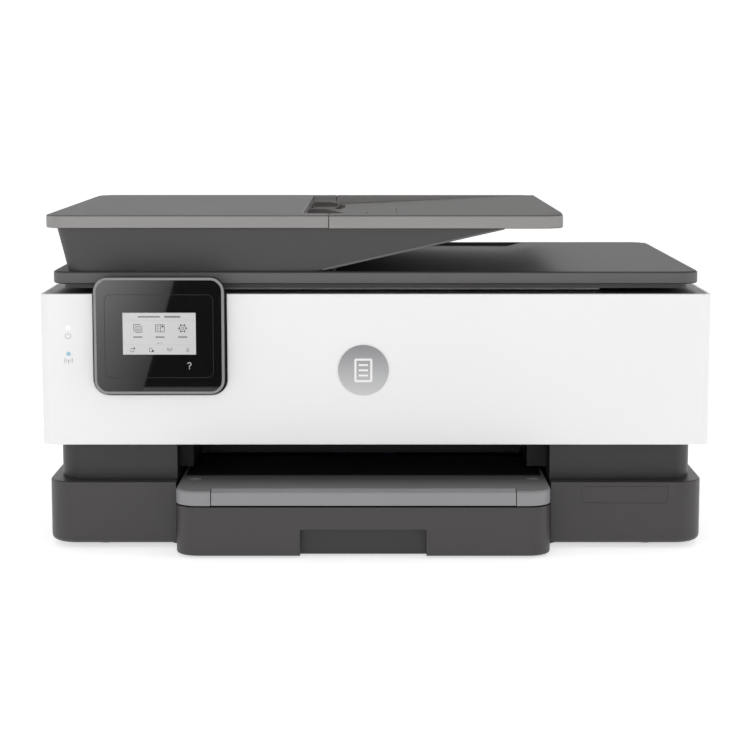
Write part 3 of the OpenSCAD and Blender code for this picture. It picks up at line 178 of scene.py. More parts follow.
# Silver lacquer on the control panel's rim: a fine flake that reads as satin grey.
silver_lacquer = moulded("silver_lacquer", "#8b8b8c", "#858586", 0.4, 0.35, 0.002, 40)
# Rolled and zinc-plated sheet of the engine's frame.
zinc_plated_sheet = drawn_metal("zinc_plated_sheet", "#a9adb0", 0.34, 1.2, (0.08, 1, 1), 0.003)
# Grit-coated feed roller: a rough ceramic film that grips the sheet.
grit_coating = moulded("grit_coating", "#55575a", "#4c4e51", 0.8, 0.4, 0.03, 10)
# Nickel plate on the ports' shells.
nickel_plate = drawn_metal("nickel_plate", "#c9c8c2", 0.22, 0.6, (1, 1, 0.2), 0.001)
# Gold flash on the contacts.
gold_contact = drawn_metal("gold_contact", "#d9b45a", 0.25, 0.6, (1, 0.2, 1), 0.001)
# Frosted polyester of the encoder strip, grey from its fine printed lines.
encoder_film = moulded("encoder_film", "#8d9296", "#868b8f", 0.3, 0.5, 0.002, 15)


def turned_badge():
    """Anodised aluminium, turned on a lathe: rings of fine lines round the disc's own middle."""
    material, tree, shader = new_material("turned_aluminium", "#b4b4b5", 0.34, metallic=1.0, Anisotropic=0.6)
    place = add(tree, "ShaderNodeTexCoord").outputs["Object"]
    centre = (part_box("badge")[0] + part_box("badge")[1]) / 2
    centred = add(tree, "ShaderNodeMapping", {"Vector": place}, Location=[-value for value in centre])
    rings = add(tree, "ShaderNodeTexWave", {"Vector": centred.outputs["Vector"]}, wave_type="RINGS",
                rings_direction="Y", Scale=0.5 / (0.35 * MM) / math.pi, Distortion=0.4, Detail=2.0)
    bump = add(tree, "ShaderNodeBump", {"Height": rings.outputs["Fac"]}, Distance=0.002 * MM, Strength=0.5)
    tree.links.new(bump.outputs["Normal"], shader.inputs["Normal"])
    # The disc is brighter low down, as a dished face under a high light is.
    split = add(tree, "ShaderNodeSeparateXYZ", {"Vector": centred.outputs["Vector"]})
    fade = add(tree, "ShaderNodeMapRange", {"Value": split.outputs["Z"]}, From_Min=-17 * MM, From_Max=17 * MM)
    ramp = add(tree, "ShaderNodeValToRGB", {"Fac": fade.outputs["Result"]})
    ramp.color_ramp.elements[0].color = srgb("#bababb")
    ramp.color_ramp.elements[1].color = srgb("#858587")
    tree.links.new(ramp.outputs["Color"], shader.inputs["Base Color"])
    return material


def polished_glass(name, colour, wave_mm, detail, strength, **more):
    """Polished glass, very slightly wavy."""
    material, tree, shader = new_material(name, colour, 0.02, ior=1.52, **more)
    place = add(tree, "ShaderNodeTexCoord").outputs["Object"]
    waves = add(tree, "ShaderNodeTexNoise", {"Vector": place}, Scale=1 / (wave_mm * MM), Detail=detail)
    bump = add(tree, "ShaderNodeBump", {"Height": waves.outputs["Fac"]}, Distance=0.002 * MM,
               Strength=strength)
    tree.links.new(bump.outputs["Normal"], shader.inputs["Normal"])
    return material


def lit(name, colour, strength, roughness=0.2):
    """Something that shines, such as a display's backlight or a lamp's lens, with a faint haze."""
    material, tree, shader = new_material(name, colour, roughness, Emission_Strength=strength)
    place = add(tree, "ShaderNodeTexCoord").outputs["Object"]
    hazy = [value * 0.93 for value in srgb(colour)[:3]] + [1.0]
    haze = drift(tree, place, 30, 1.0, srgb(colour), hazy)
    tree.links.new(haze, shader.inputs["Base Color"])
    tree.links.new(haze, shader.inputs["Emission Color"])
    return material


turned_aluminium = turned_badge()
# Float glass of the flatbed: clear, with a green tint.
float_glass = polished_glass("float_glass", "#dfeeea", 90, 0.0, 0.2, Transmission_Weight=1.0)
# Touch glass painted black on its back.
back_painted_glass = polished_glass("back_painted_glass", "#0f0f10", 45, 1.0, 0.3)
# The display's backlight through white, grey and dark dots, and the lenses of the two lamps.
backlit_display = lit("backlit_display", "#c6c6c6", 0.12)
display_mid = lit("display_mid", "#b0b1b3", 0.1)
display_bar = lit("display_bar", "#77787a", 0.08)
display_dark = lit("display_dark", "#3b3c3e", 0.05)
white_lamp = lit("white_lamp", "#f5f8fb", 0.3)
blue_lamp = lit("blue_lamp", "#8db4c8", 0.2)

MATERIAL_OF = {
    "white_shell": satin_white_abs, "charcoal_shell": etched_charcoal_abs, "dark_shell": dark_abs_and_painted_shade,
    "feeder_grey": grey_abs_and_painted_light, "rim_grey": etched_warm_grey_abs, "tray_grey": smoothed_grey_abs,
    "black_plastic": black_abs_and_painted_shade, "glass": float_glass, "panel_gloss": back_painted_glass,
    "display": backlit_display, "satin_metal": turned_aluminium, "bezel": silver_lacquer,
    "steel": zinc_plated_sheet, "rubber": moulded_rubber, "belt_rubber": carbon_rubber,
    "acetal": natural_acetal, "guide_blue": moulded_blue_abs, "board_green": solder_mask, "lens": white_lamp,
    "white_pad": white_polystyrene, "ink_black": face_black_pp, "ink_cyan": face_cyan_pp,
    "ink_magenta": face_magenta_pp, "ink_yellow": face_yellow_pp, "roller_grit": grit_coating,
    "supply_case": zinc_plated_sheet,
}


# ---- Modelling by hand ----

def use(piece):
    """Selects one piece alone and makes it the active one."""
    bpy.ops.object.select_all(action="DESELECT")
    piece.select_set(True)
    bpy.context.view_layer.objects.active = piece


def settle(piece):
    """Moves a piece's place, turn and scale into its mesh."""
    use(piece)
    bpy.ops.object.transform_apply(location=True, rotation=True, scale=True)


def edit(piece):
    """Opens a piece in edit mode with nothing selected, and gives its mesh."""
    use(piece)
    bpy.ops.object.mode_set(mode="EDIT")
    bpy.ops.mesh.select_mode(type="EDGE")
    bpy.ops.mesh.select_all(action="DESELECT")
    return bmesh.from_edit_mesh(piece.data)


def bevel_edges(piece, width, steps, where, sharpness=30):
    """Rounds the sharp edges whose middle, in mm, passes the test."""
    mesh = edit(piece)
    limit = math.radians(sharpness)
    chosen = [line for line in mesh.edges if len(line.link_faces) == 2 and line.calc_face_angle(0) > limit
              and where((line.verts[0].co + line.verts[1].co) / 2 / MM)]
    for line in chosen:
        line.select_set(True)
    bmesh.update_edit_mesh(piece.data)
    if chosen:
        bpy.ops.mesh.bevel(offset=width * MM, segments=steps, profile=0.5, clamp_overlap=False)
    bpy.ops.object.mode_set(mode="OBJECT")


def smooth(piece, angle=34):
    """Shades the rounded edges smoothly and keeps the flats flat."""
    use(piece)
    limit = math.radians(angle)
    bpy.ops.object.shade_smooth_by_angle(angle=limit)
    mesh = edit(piece)
    for line in mesh.edges:
        if len(line.link_faces) == 2 and line.calc_face_angle(0) > limit:
            line.smooth = False
    bmesh.update_edit_mesh(piece.data)
    bpy.ops.object.mode_set(mode="OBJECT")
    even = piece.modifiers.new("even", "WEIGHTED_NORMAL")
    even.keep_sharp = True
    even.weight = 80
    bpy.ops.object.modifier_apply(modifier=even.name)


def dress(piece, body, slot, material=None):
    """Gives a piece its material, from its slot unless one is given, and the body that carries it."""
    piece.data.materials.clear()
    piece.data.materials.append(material or MATERIAL_OF[slot])
    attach(piece, body)
    return piece


def finish(piece, body, slot, material=None):
    """Shades a piece and dresses it."""
    smooth(piece)
    return dress(piece, body, slot, material)


def merged_copy(node):
    """A copy of a CAD node's mesh with its doubles merged and its flat faces made whole."""
    source = frame["nodes"][node]
    piece = source.copy()
    piece.data = source.data.copy()
    piece.parent = None
    piece.name = node + "_finished"
    bpy.context.collection.objects.link(piece)
    edit(piece)
    bpy.ops.mesh.select_all(action="SELECT")
    bpy.ops.mesh.remove_doubles(threshold=0.002 * MM)
    bpy.ops.mesh.dissolve_limited(angle_limit=math.radians(0.5))
    bpy.ops.object.mode_set(mode="OBJECT")
    return piece


def finish_copy(piece, node, material=None):
    """Shades a piece and lets it stand for its node."""
    smooth(piece)
    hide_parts(node)
    return dress(piece, BODY_OF[node], SLOT_OF[node], material)


def stand_for(node, *rounds, material=None):
    """Replaces a CAD node by a merged copy of itself, with edges rounded by (width, steps, test)."""
    piece = merged_copy(node)
    for width, steps, where in rounds:
        bevel_edges(piece, width, steps, where)
    return finish_copy(piece, node, material)


def block(name, low, high, edge=0.4, steps=2):
    """A box between two corners in mm with its edges rounded."""
    middle = [(a + b) / 2 * MM for a, b in zip(low, high)]
    bpy.ops.object.select_all(action="DESELECT")
    bpy.ops.mesh.primitive_cube_add(size=1, location=middle)
    piece = bpy.context.object
    piece.name = name
    piece.scale = [(b - a) * MM for a, b in zip(low, high)]
    settle(piece)
    if edge:
        bevel_edges(piece, min(edge, min(b - a for a, b in zip(low, high)) * 0.45), steps, everywhere)
    return piece


def facing_plate(name, x0, z0, x1, z1, y0, y1, corner, edge=0.0, steps=6):
    """A plate that faces forward, with round corners and, if asked, a rounded front edge."""
    piece = block(name, (x0, y0, z0), (x1, y1, z1), 0)
    if corner:
        bevel_edges(piece, corner, steps, lambda p: abs(p.x - (x0 + x1) / 2) > (x1 - x0) / 2 - 0.001
                    and abs(p.z - (z0 + z1) / 2) > (z1 - z0) / 2 - 0.001)
    if edge:
        bevel_edges(piece, edge, 2, lambda p: abs(p.y - y0) < 0.001, 40)
    return piece


def disc(name, x, z, radius, y0, y1, sides=32, edge=0.0):
    """A round plate that faces forward."""
    bpy.ops.object.select_all(action="DESELECT")
    middle = (x * MM, (y0 + y1) / 2 * MM, z * MM)
    bpy.ops.mesh.primitive_cylinder_add(vertices=sides, radius=radius * MM, depth=(y1 - y0) * MM,
                                        location=middle, rotation=(math.pi / 2, 0, 0))
    piece = bpy.context.object
    piece.name = name
    settle(piece)
    if edge:
        bevel_edges(piece, edge, 2, lambda p: abs(p.y - y0) < 0.001)
    return piece


def arc(name, x, z, radius, thickness, start, sweep, y0, y1, steps=20):
    """A flat stroke along part of a circle, facing forward: a bar spun round the circle's middle."""
    piece = block(name, (x + radius - thickness / 2, y0, z), (x + radius + thickness / 2, y1, z), 0)
    edit(piece)
    bpy.ops.mesh.select_mode(type="FACE")
    bpy.ops.mesh.select_all(action="SELECT")
    bpy.ops.mesh.remove_doubles(threshold=0.0001 * MM)
    bpy.ops.mesh.select_all(action="SELECT")
    bpy.ops.mesh.spin(steps=steps, angle=math.radians(sweep), center=(x * MM, 0, z * MM), axis=(0, 1, 0))
    bpy.ops.mesh.select_all(action="SELECT")
    bpy.ops.mesh.remove_doubles(threshold=0.0001 * MM)
    bpy.ops.mesh.normals_make_consistent(inside=False)
    bpy.ops.mesh.select_all(action="SELECT")
    bpy.ops.transform.rotate(value=math.radians(start), orient_axis="Y", center_override=(x * MM, 0, z * MM))
    bpy.ops.object.mode_set(mode="OBJECT")
    return piece


def join(name, pieces):
    """Joins pieces into one."""
    bpy.ops.object.select_all(action="DESELECT")
    for piece in pieces:
        piece.select_set(True)
    bpy.context.view_layer.objects.active = pieces[0]
    bpy.ops.object.join()
    pieces[0].name = name
    return pieces[0]


def low_of(node):
    """A CAD node's lowest corner at rest, in mm."""
    return Vector(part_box(node)[0]) / MM


def high_of(node):
    """A CAD node's highest corner at rest, in mm."""
    return Vector(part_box(node)[1]) / MM


# ---- Sizes read from the frame ----

BAND_LOW, BAND_HIGH = low_of("left_side_panel"), high_of("right_side_panel")
FRONT_Y = low_of("front_door").y
REAR_Y = BAND_HIGH.y
BAND_Z, DECK_Z = BAND_LOW.z, BAND_HIGH.z
FOOT_Z = low_of("base_tub").z
FACE_Y = FRONT_Y - 0.04
# Corner radii of the outer walls seen from above, in mm.
CASE_CORNER = 20
LID_CORNER = 15
TRAY_CORNER = 16


def outline_at(low, high, radius, height):
    """Passes the edges at one height, in mm, on the round-cornered outer wall between two corners."""
    def test(point):
        if abs(point.z - height) > 0.06:
            return False
        side = abs(point.x - (low.x + high.x) / 2) - (high.x - low.x) / 2 + radius
        end = abs(point.y - (low.y + high.y) / 2) - (high.y - low.y) / 2 + radius
        return math.hypot(max(side, 0), max(end, 0)) + min(max(side, end), 0) - radius > -0.9
    return test


def node_outline(node, radius, height):
    """Passes the edges at one height on a node's outer wall."""
    return outline_at(low_of(node), high_of(node), radius, height)


def everywhere(point):
    """Passes every edge."""
    return True


def rear_face(node):
    """Passes the edges of a node's rearmost face."""
    rear = high_of(node).y
    return lambda point: abs(point.y - rear) < 0.05


def paint(piece, material, test):
    """Gives a second material to the faces whose middle, in mm, and normal pass the test."""
    piece.data.materials.append(material)
    place = len(piece.data.materials) - 1
    for face in piece.data.polygons:
        if test(face.center / MM, face.normal):
            face.material_index = place


def upright(point, normal):
    """Passes the faces that stand rather than lie."""
    return abs(normal.z) < 0.5


def bisect_at(piece, x):
    """Cuts new edges round a piece where it crosses the given X, in mm, so that a rounding can end there."""
    edit(piece)
    bpy.ops.mesh.select_all(action="SELECT")
    bpy.ops.mesh.bisect(plane_co=(x * MM, 0, 0), plane_no=(1, 0, 0))
    bpy.ops.object.mode_set(mode="OBJECT")


def hollow_out(piece, width):
    """Opens a forward-facing plate right through and leaves a rim of the given width, in mm."""
    mesh = edit(piece)
    bpy.ops.mesh.select_mode(type="FACE")
    for face in mesh.faces:
        face.select_set(abs(face.normal.y) > 0.9)
    bmesh.update_edit_mesh(piece.data)
    bpy.ops.mesh.inset(thickness=width * MM)
    bpy.ops.mesh.bridge_edge_loops()
    bpy.ops.mesh.select_all(action="SELECT")
    bpy.ops.mesh.normals_make_consistent(inside=False)
    bpy.ops.object.mode_set(mode="OBJECT")
    return piece


def hoop(name, x0, z0, x1, z1, corner, width, y0, y1):
    """A thin line round a rounded rectangle, facing forward."""
    return hollow_out(facing_plate(name, x0, z0, x1, z1, y0, y1, corner), width)


def ring(name, x, z, radius, width, y0, y1, sides=32):
    """A flat ring that faces forward."""
    return hollow_out(disc(name, x, z, radius, y0, y1, sides), width)


def rod(name, start, length, radius, axis, sides=20, edge=0.2):
    """A round bar along X, Y or Z from its start, in mm, with chamfered ends."""
    along = Vector([1.0 if axis == letter else 0.0 for letter in "XYZ"])
    turn = {"X": (0, math.pi / 2, 0), "Y": (math.pi / 2, 0, 0), "Z": (0, 0, 0)}[axis]
    bpy.ops.object.select_all(action="DESELECT")
    bpy.ops.mesh.primitive_cylinder_add(vertices=sides, radius=radius * MM, depth=length * MM,
                                        location=(Vector(start) + along * length / 2) * MM, rotation=turn)
    piece = bpy.context.object
    piece.name = name
    settle(piece)
    if edge:
        ends = (Vector(start).dot(along), Vector(start).dot(along) + length)
        bevel_edges(piece, edge, 2, lambda p: min(abs(p.dot(along) - end) for end in ends) < 0.01)
    return piece


def fitted(name, pieces, body, slot, material=None):
    """Joins pieces, shades them and dresses the result."""
    return finish(join(name, pieces), body, slot, material)


# ---- Casing ----

for node, item in frame["nodes"].items():
    item.data.materials.clear()
    item.data.materials.append(MATERIAL_OF[SLOT_OF[node]])


def lower_case():
    """The lower case with its rounded foot, the waist above it and the ribs beside the tray bay."""
    tray_low, tray_high = low_of("paper_tray"), high_of("paper_tray")
    top = high_of("base_tub").z
    base = merged_copy("base_tub")
    for x in (tray_low.x - 5.5, tray_high.x + 5.5):
        bisect_at(base, x)
    foot = node_outline("base_tub", CASE_CORNER, FOOT_Z)
    bevel_edges(base, 4, 5, lambda p: foot(p) and not tray_low.x - 5.4 < p.x < tray_high.x + 5.4)
    bevel_edges(base, 0.9, 3, node_outline("base_tub", CASE_CORNER, top))
    finish_copy(base, "base_tub")
    waist = stand_for("waist_shell", (0.6, 2, lambda p: abs(p.y - low_of("waist_shell").y) < 3
                                      and min(abs(p.x - tray_low.x), abs(p.x - tray_high.x)) < 4))
    # Painted shade: the output bay's inner walls are painted black.
    paint(waist, black_abs_and_painted_shade, lambda p, n: p.y > FRONT_Y + 14 and tray_low.x - 2 < p.x < tray_high.x + 2
          and abs(n.z) < 0.5)
    # Vertical ribs stiffen the inner walls beside the tray bay.
    ribs = []
    for s, x in ((-1, tray_low.x - 1.9 - 2.5), (1, tray_high.x + 1.9 + 2.5)):
        for i in range(6):
            y = FRONT_Y + 24 + i * 44
            x0, x1 = sorted((x, x + s * 5))
            ribs.append(block("rib", (x0, y, FOOT_Z + 3), (x1, y + 1.6, top - 6), 0.3))
    fitted("bay_wall_ribs", ribs, "chassis", "charcoal_shell")


def white_band():
    """The door and the two sides: every outer edge is slightly round."""
    def rim(height):
        def test(point):
            outer = abs(point.x) > BAND_HIGH.x - 0.1 or point.y < FRONT_Y + 0.1 or point.y > REAR_Y - 0.1
            corner = math.hypot(max(abs(point.x) - BAND_HIGH.x + 10, 0),
                                max(point.y - REAR_Y + 10, FRONT_Y + 6 - point.y, 0)) > 4.9
            return abs(point.z - height) < 0.06 and (outer or corner and abs(point.x) > BAND_HIGH.x - 6)
        return test
    for node in ("left_side_panel", "right_side_panel"):
        stand_for(node, (0.7, 3, rim(DECK_Z)), (0.9, 3, rim(BAND_Z)),
                  (0.35, 2, lambda p: abs(p.y - low_of("left_side_panel").y) < 0.05
                   and abs(p.x) > BAND_HIGH.x - 0.1))
    panel_low, panel_high = low_of("panel_bezel"), high_of("panel_bezel")

    def notch(point):
        return (abs(point.y - FRONT_Y) < 0.05 and panel_low.x - 2 < point.x < panel_high.x + 2
                and panel_low.z - 2 < point.z < DECK_Z - 2)
    stand_for("front_door", (0.6, 3, rim(DECK_Z)), (0.9, 3, rim(BAND_Z)),
              (0.6, 3, notch))
    # Ribs and two latch hooks on the inside of the door.
    inside = FRONT_Y + 2.5
    ribs = [block("rib", (x - 0.8, inside - 0.1, BAND_Z + 8), (x + 0.8, inside + 3, DECK_Z - 10), 0.3)
            for x in (-60, 60, 110, 160)]
    ribs.append(block("rib", (-90, inside - 0.1, BAND_Z + 40), (205, inside + 2.5, BAND_Z + 41.6), 0.3))
    for x in (-78, 196):
        ribs.append(block("latch", (x - 5, inside - 0.1, DECK_Z - 12), (x + 5, inside + 5, DECK_Z - 10), 0.4))
        ribs.append(block("hook", (x - 5, inside + 3.4, DECK_Z - 10.2), (x + 5, inside + 5, DECK_Z - 8.4),
                          0.4))
    fitted("door_inner_ribs", ribs, "front_door", "white_shell")


def door_marks():
    """The power and wireless symbols under the two lamps, and the round badge."""
    x = (low_of("status_lights").x + high_of("status_lights").x) / 2
    high_lamp = high_of("status_lights").z
    strokes = []
    z = high_lamp - 7.1
    back = FRONT_Y + 0.2
    strokes.append(arc("ring", x, z, 1.9, 0.42, 120, 300, FACE_Y, back))
    strokes.append(block("bar", (x - 0.21, FACE_Y, z + 0.4), (x + 0.21, back, z + 2.6), 0))
    z = high_lamp - 24.6
    for radius in (1.6, 2.9):
        strokes.append(arc("wave", x, z + 0.6, radius, 0.42, -42, 84, FACE_Y, back, 10))
        strokes.append(arc("wave", x, z + 0.6, radius, 0.42, 138, 84, FACE_Y, back, 10))
    strokes.append(disc("dot", x, z + 0.6, 0.6, FACE_Y, back, 16))
    strokes.append(block("mast", (x - 0.21, FACE_Y, z - 2.1), (x + 0.21, back, z + 0.4), 0))
    fitted("lamp_symbols", strokes, "front_door", "white_shell", grey_ink)
    low_lamp = low_of("status_lights").z
    lamp_rows = (("power_lamp", high_lamp - 1.45, white_lamp), ("wireless_lamp", low_lamp + 1.45, blue_lamp))
    for name, z, material in lamp_rows:
        lens = disc(name, x, z, 1.42, FRONT_Y - 0.25, FRONT_Y + 2.4, 24, 0.2)
        finish(lens, "front_door", "lens", material)
    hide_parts("status_lights")
    low, high = low_of("badge"), high_of("badge")
    middle = (low + high) / 2
    radius = (high.x - low.x) / 2
    badge = disc("badge_finished", middle.x, middle.z, radius, low.y, high.y, 96, 0.3)
    finish_copy(badge, "badge")
    # A plain picture of a sheet of paper with lines, in the colour of the door.
    face, back = low.y - 0.06, low.y + 0.2
    sheet = [hoop("sheet", middle.x - 6.2, middle.z - 8.2, middle.x + 6.2, middle.z + 8.2, 1.2, 1.5,
                  face, back)]
    for i in range(3):
        sheet.append(block("line", (middle.x - 3.2, face, middle.z - 4.2 + 3.6 * i),
                           (middle.x + 3.2, back, middle.z - 2.9 + 3.6 * i), 0))
    fitted("badge_sheet_picture", sheet, "front_door", "white_shell", satin_white_abs)


# ---- Control panel ----

def control_panel():
    """The rim, the glass with its fine outline, and a plain screen of pictures and bars."""
    low, high = low_of("panel_bezel"), high_of("panel_bezel")
    front = low.y

    def outer_front(point):
        return abs(point.y - front) < 0.05 and (point.x < low.x + 3 or point.x > high.x - 3
                                                or point.z < low.z + 3 or point.z > high.z - 3)
    bezel = stand_for("panel_bezel", (0.55, 3, outer_front))
    # Painted shade: the rim's sides behind its front edge are painted black, as the dark gap round it.
    paint(bezel, black_abs_and_painted_shade, lambda p, n: abs(n.y) < 0.5 and p.y > front + 0.8)
    face = low_of("panel_glass").y
    line = hoop("glass_outline", low.x + 7.3, low.z + 11.2, high.x - 7.4, high.z - 11.6, 4.2, 0.3,
                face - 0.03, face + 0.1)
    dress(line, "control_panel", "panel_gloss", black_abs_and_painted_shade)
    # A question mark: the usual sign for help.
    x, z = (low.x + high.x) / 2 + 20.5, low.z + 20.6
    help_mark = [arc("bow", x, z, 1.15, 0.42, -70, 240, face - 0.04, face + 0.1, 12),
                 block("stem", (x - 0.21, face - 0.04, z - 2.2), (x + 0.21, face + 0.1, z - 0.95), 0),
                 disc("point", x, z - 3.1, 0.32, face - 0.04, face + 0.1, 12)]
    fitted("help_sign", help_mark, "control_panel", "panel_gloss", light_ink)
    screen_pictures()


def screen_pictures():
    """Pictures and bars on the display: a status bar, three large pictures and four small ones."""
    low, high = low_of("display_screen"), high_of("display_screen")
    width, height = high.x - low.x, high.z - low.z
    y0, y1 = low.y - 0.05, low.y + 0.1

    def at(across, down):
        return low.x + across * width, high.z - down * height

    def bar(across, down, length, thick=0.45):
        x, z = at(across, down)
        return block("bar", (x - length / 2, y0, z - thick / 2), (x + length / 2, y1, z + thick / 2), 0)

    rules = [bar(0.5, 0.18, width, 0.14), bar(0.5, 0.766, width, 0.14)]
    fitted("screen_rules", rules, "control_panel", "display", display_mid)
    dark = [bar(0.36, 0.096, 15, 1.0), bar(0.68, 0.096, 11, 1.2)]
    for across in (0.207, 0.51, 0.82):
        dark.append(bar(across, 0.58, 6.2, 0.9))
    for across, size in ((0.485, 0.45), (0.525, 0.3)):
        x, z = at(across, 0.725)
        dark.append(disc("page_dot", x, z, size, y0, y1, 12))
    fitted("screen_bars", dark, "control_panel", "display", display_bar)
    lines = []
    # Two sheets, for copying.
    x, z = at(0.207, 0.37)
    lines.append(hoop("sheet", x - 2.9, z - 2.0, x + 1.7, z + 2.8, 0.3, 0.35, y0, y1))
    lines.append(block("edge", (x + 2.6, y0, z - 2.9), (x + 2.95, y1, z + 1.8), 0))
    lines.append(block("edge", (x - 1.8, y0, z - 2.9), (x + 2.7, y1, z - 2.55), 0))
    for i in range(3):
        lines.append(block("line", (x - 2.0, y0, z - 0.9 + i), (x + 0.8, y1, z - 0.6 + i), 0))
    # A sheet on a flatbed, for scanning.
    x, z = at(0.51, 0.37)
    lines.append(hoop("bed", x - 3.1, z - 2.6, x + 3.1, z + 2.6, 0.3, 0.35, y0, y1))
    lines.append(block("sheet", (x + 0.3, y0, z - 2.5), (x + 0.65, y1, z + 2.5), 0))
    for i in range(3):
        lines.append(block("line", (x - 2.3, y0, z - 1.3 + i * 1.2), (x - 0.5, y1, z - 1.0 + i * 1.2), 0))
    lines.append(block("fold", (x + 1.2, y0, z + 0.6), (x + 2.4, y1, z + 1.8), 0))
    # A toothed wheel, for settings.
    x, z = at(0.82, 0.37)
    lines.append(ring("wheel", x, z, 2.3, 0.35, y0, y1, 24))
    lines.append(ring("hub", x, z, 1.0, 0.3, y0, y1, 18))
    for i in range(6):
        turn = i * TURN / 6
        tooth = disc("tooth", x + 2.6 * math.cos(turn), z + 2.6 * math.sin(turn), 0.5, y0, y1, 8)
        lines.append(tooth)
    # Small pictures: a ready sheet, a telephone, a radio mast and a drop of ink.
    x, z = at(0.133, 0.886)
    lines.append(hoop("small_sheet", x - 1.4, z - 1.5, x + 1.0, z + 1.1, 0.2, 0.28, y0, y1))
    lines.append(disc("tick", x + 1.1, z + 1.1, 0.6, y0, y1, 10))
    x, z = at(0.388, 0.886)
    lines.append(hoop("telephone", x - 1.5, z - 1.4, x + 0.7, z + 1.4, 0.3, 0.28, y0, y1))
    lines.append(disc("tick", x + 1.1, z - 0.8, 0.75, y0, y1, 10))
    x, z = at(0.64, 0.886)
    for radius in (0.9, 1.6):
        lines.append(arc("wave", x, z + 0.4, radius, 0.25, -42, 84, y0, y1, 8))
        lines.append(arc("wave", x, z + 0.4, radius, 0.25, 138, 84, y0, y1, 8))
    lines.append(block("mast", (x - 0.15, y0, z - 1.4), (x + 0.15, y1, z + 0.6), 0))
    x, z = at(0.888, 0.886)
    lines.append(ring("drop", x, z - 0.4, 1.0, 0.26, y0, y1, 16))
    lines.append(block("tip", (x - 0.18, y0, z + 0.5), (x + 0.18, y1, z + 1.6), 0))
    fitted("screen_line_pictures", lines, "control_panel", "display", display_dark)


# ---- Lid and sheet feeder ----

def lid():
    """The lid, round along its top and bottom edges, with a soft hollow where the copies land."""
    low, high = low_of("scanner_lid"), high_of("scanner_lid")
    top = high.z
    under = top - 8.7
    shell = stand_for("scanner_lid", (1.7, 4, node_outline("scanner_lid", LID_CORNER, top)),
              (1.2, 3, node_outline("scanner_lid", LID_CORNER, under)),
              (2.0, 4, lambda p: -40 < p.x < 130 and top - 2.6 < p.z < top + 0.05
               and low.y + 5 < p.y < high.y - 5), material=body_abs_and_painted_shade)
    # Painted shade: the lid's top keeps the darker body ABS, and only its upright faces take the lid's own
    # lighter ABS.
    paint(shell, etched_lid_abs, upright)
    edge_low, edge_high = low_of("lid_backing"), high_of("lid_backing")
    # Foam under the backing, in a frame of strips.
    foam = []
    for y in (edge_low.y + 1, edge_high.y - 7):
        foam.append(block("strip", (edge_low.x + 1, y, edge_low.z + 1.8),
                          (edge_high.x - 1, y + 6, edge_low.z + 6), 0.8))
    fitted("backing_foam", foam, "scanner_lid", "black_plastic", moulded_rubber)
    stand_for("lid_backing", (1.0, 3, lambda p: abs(p.z - edge_low.z) < 0.05))


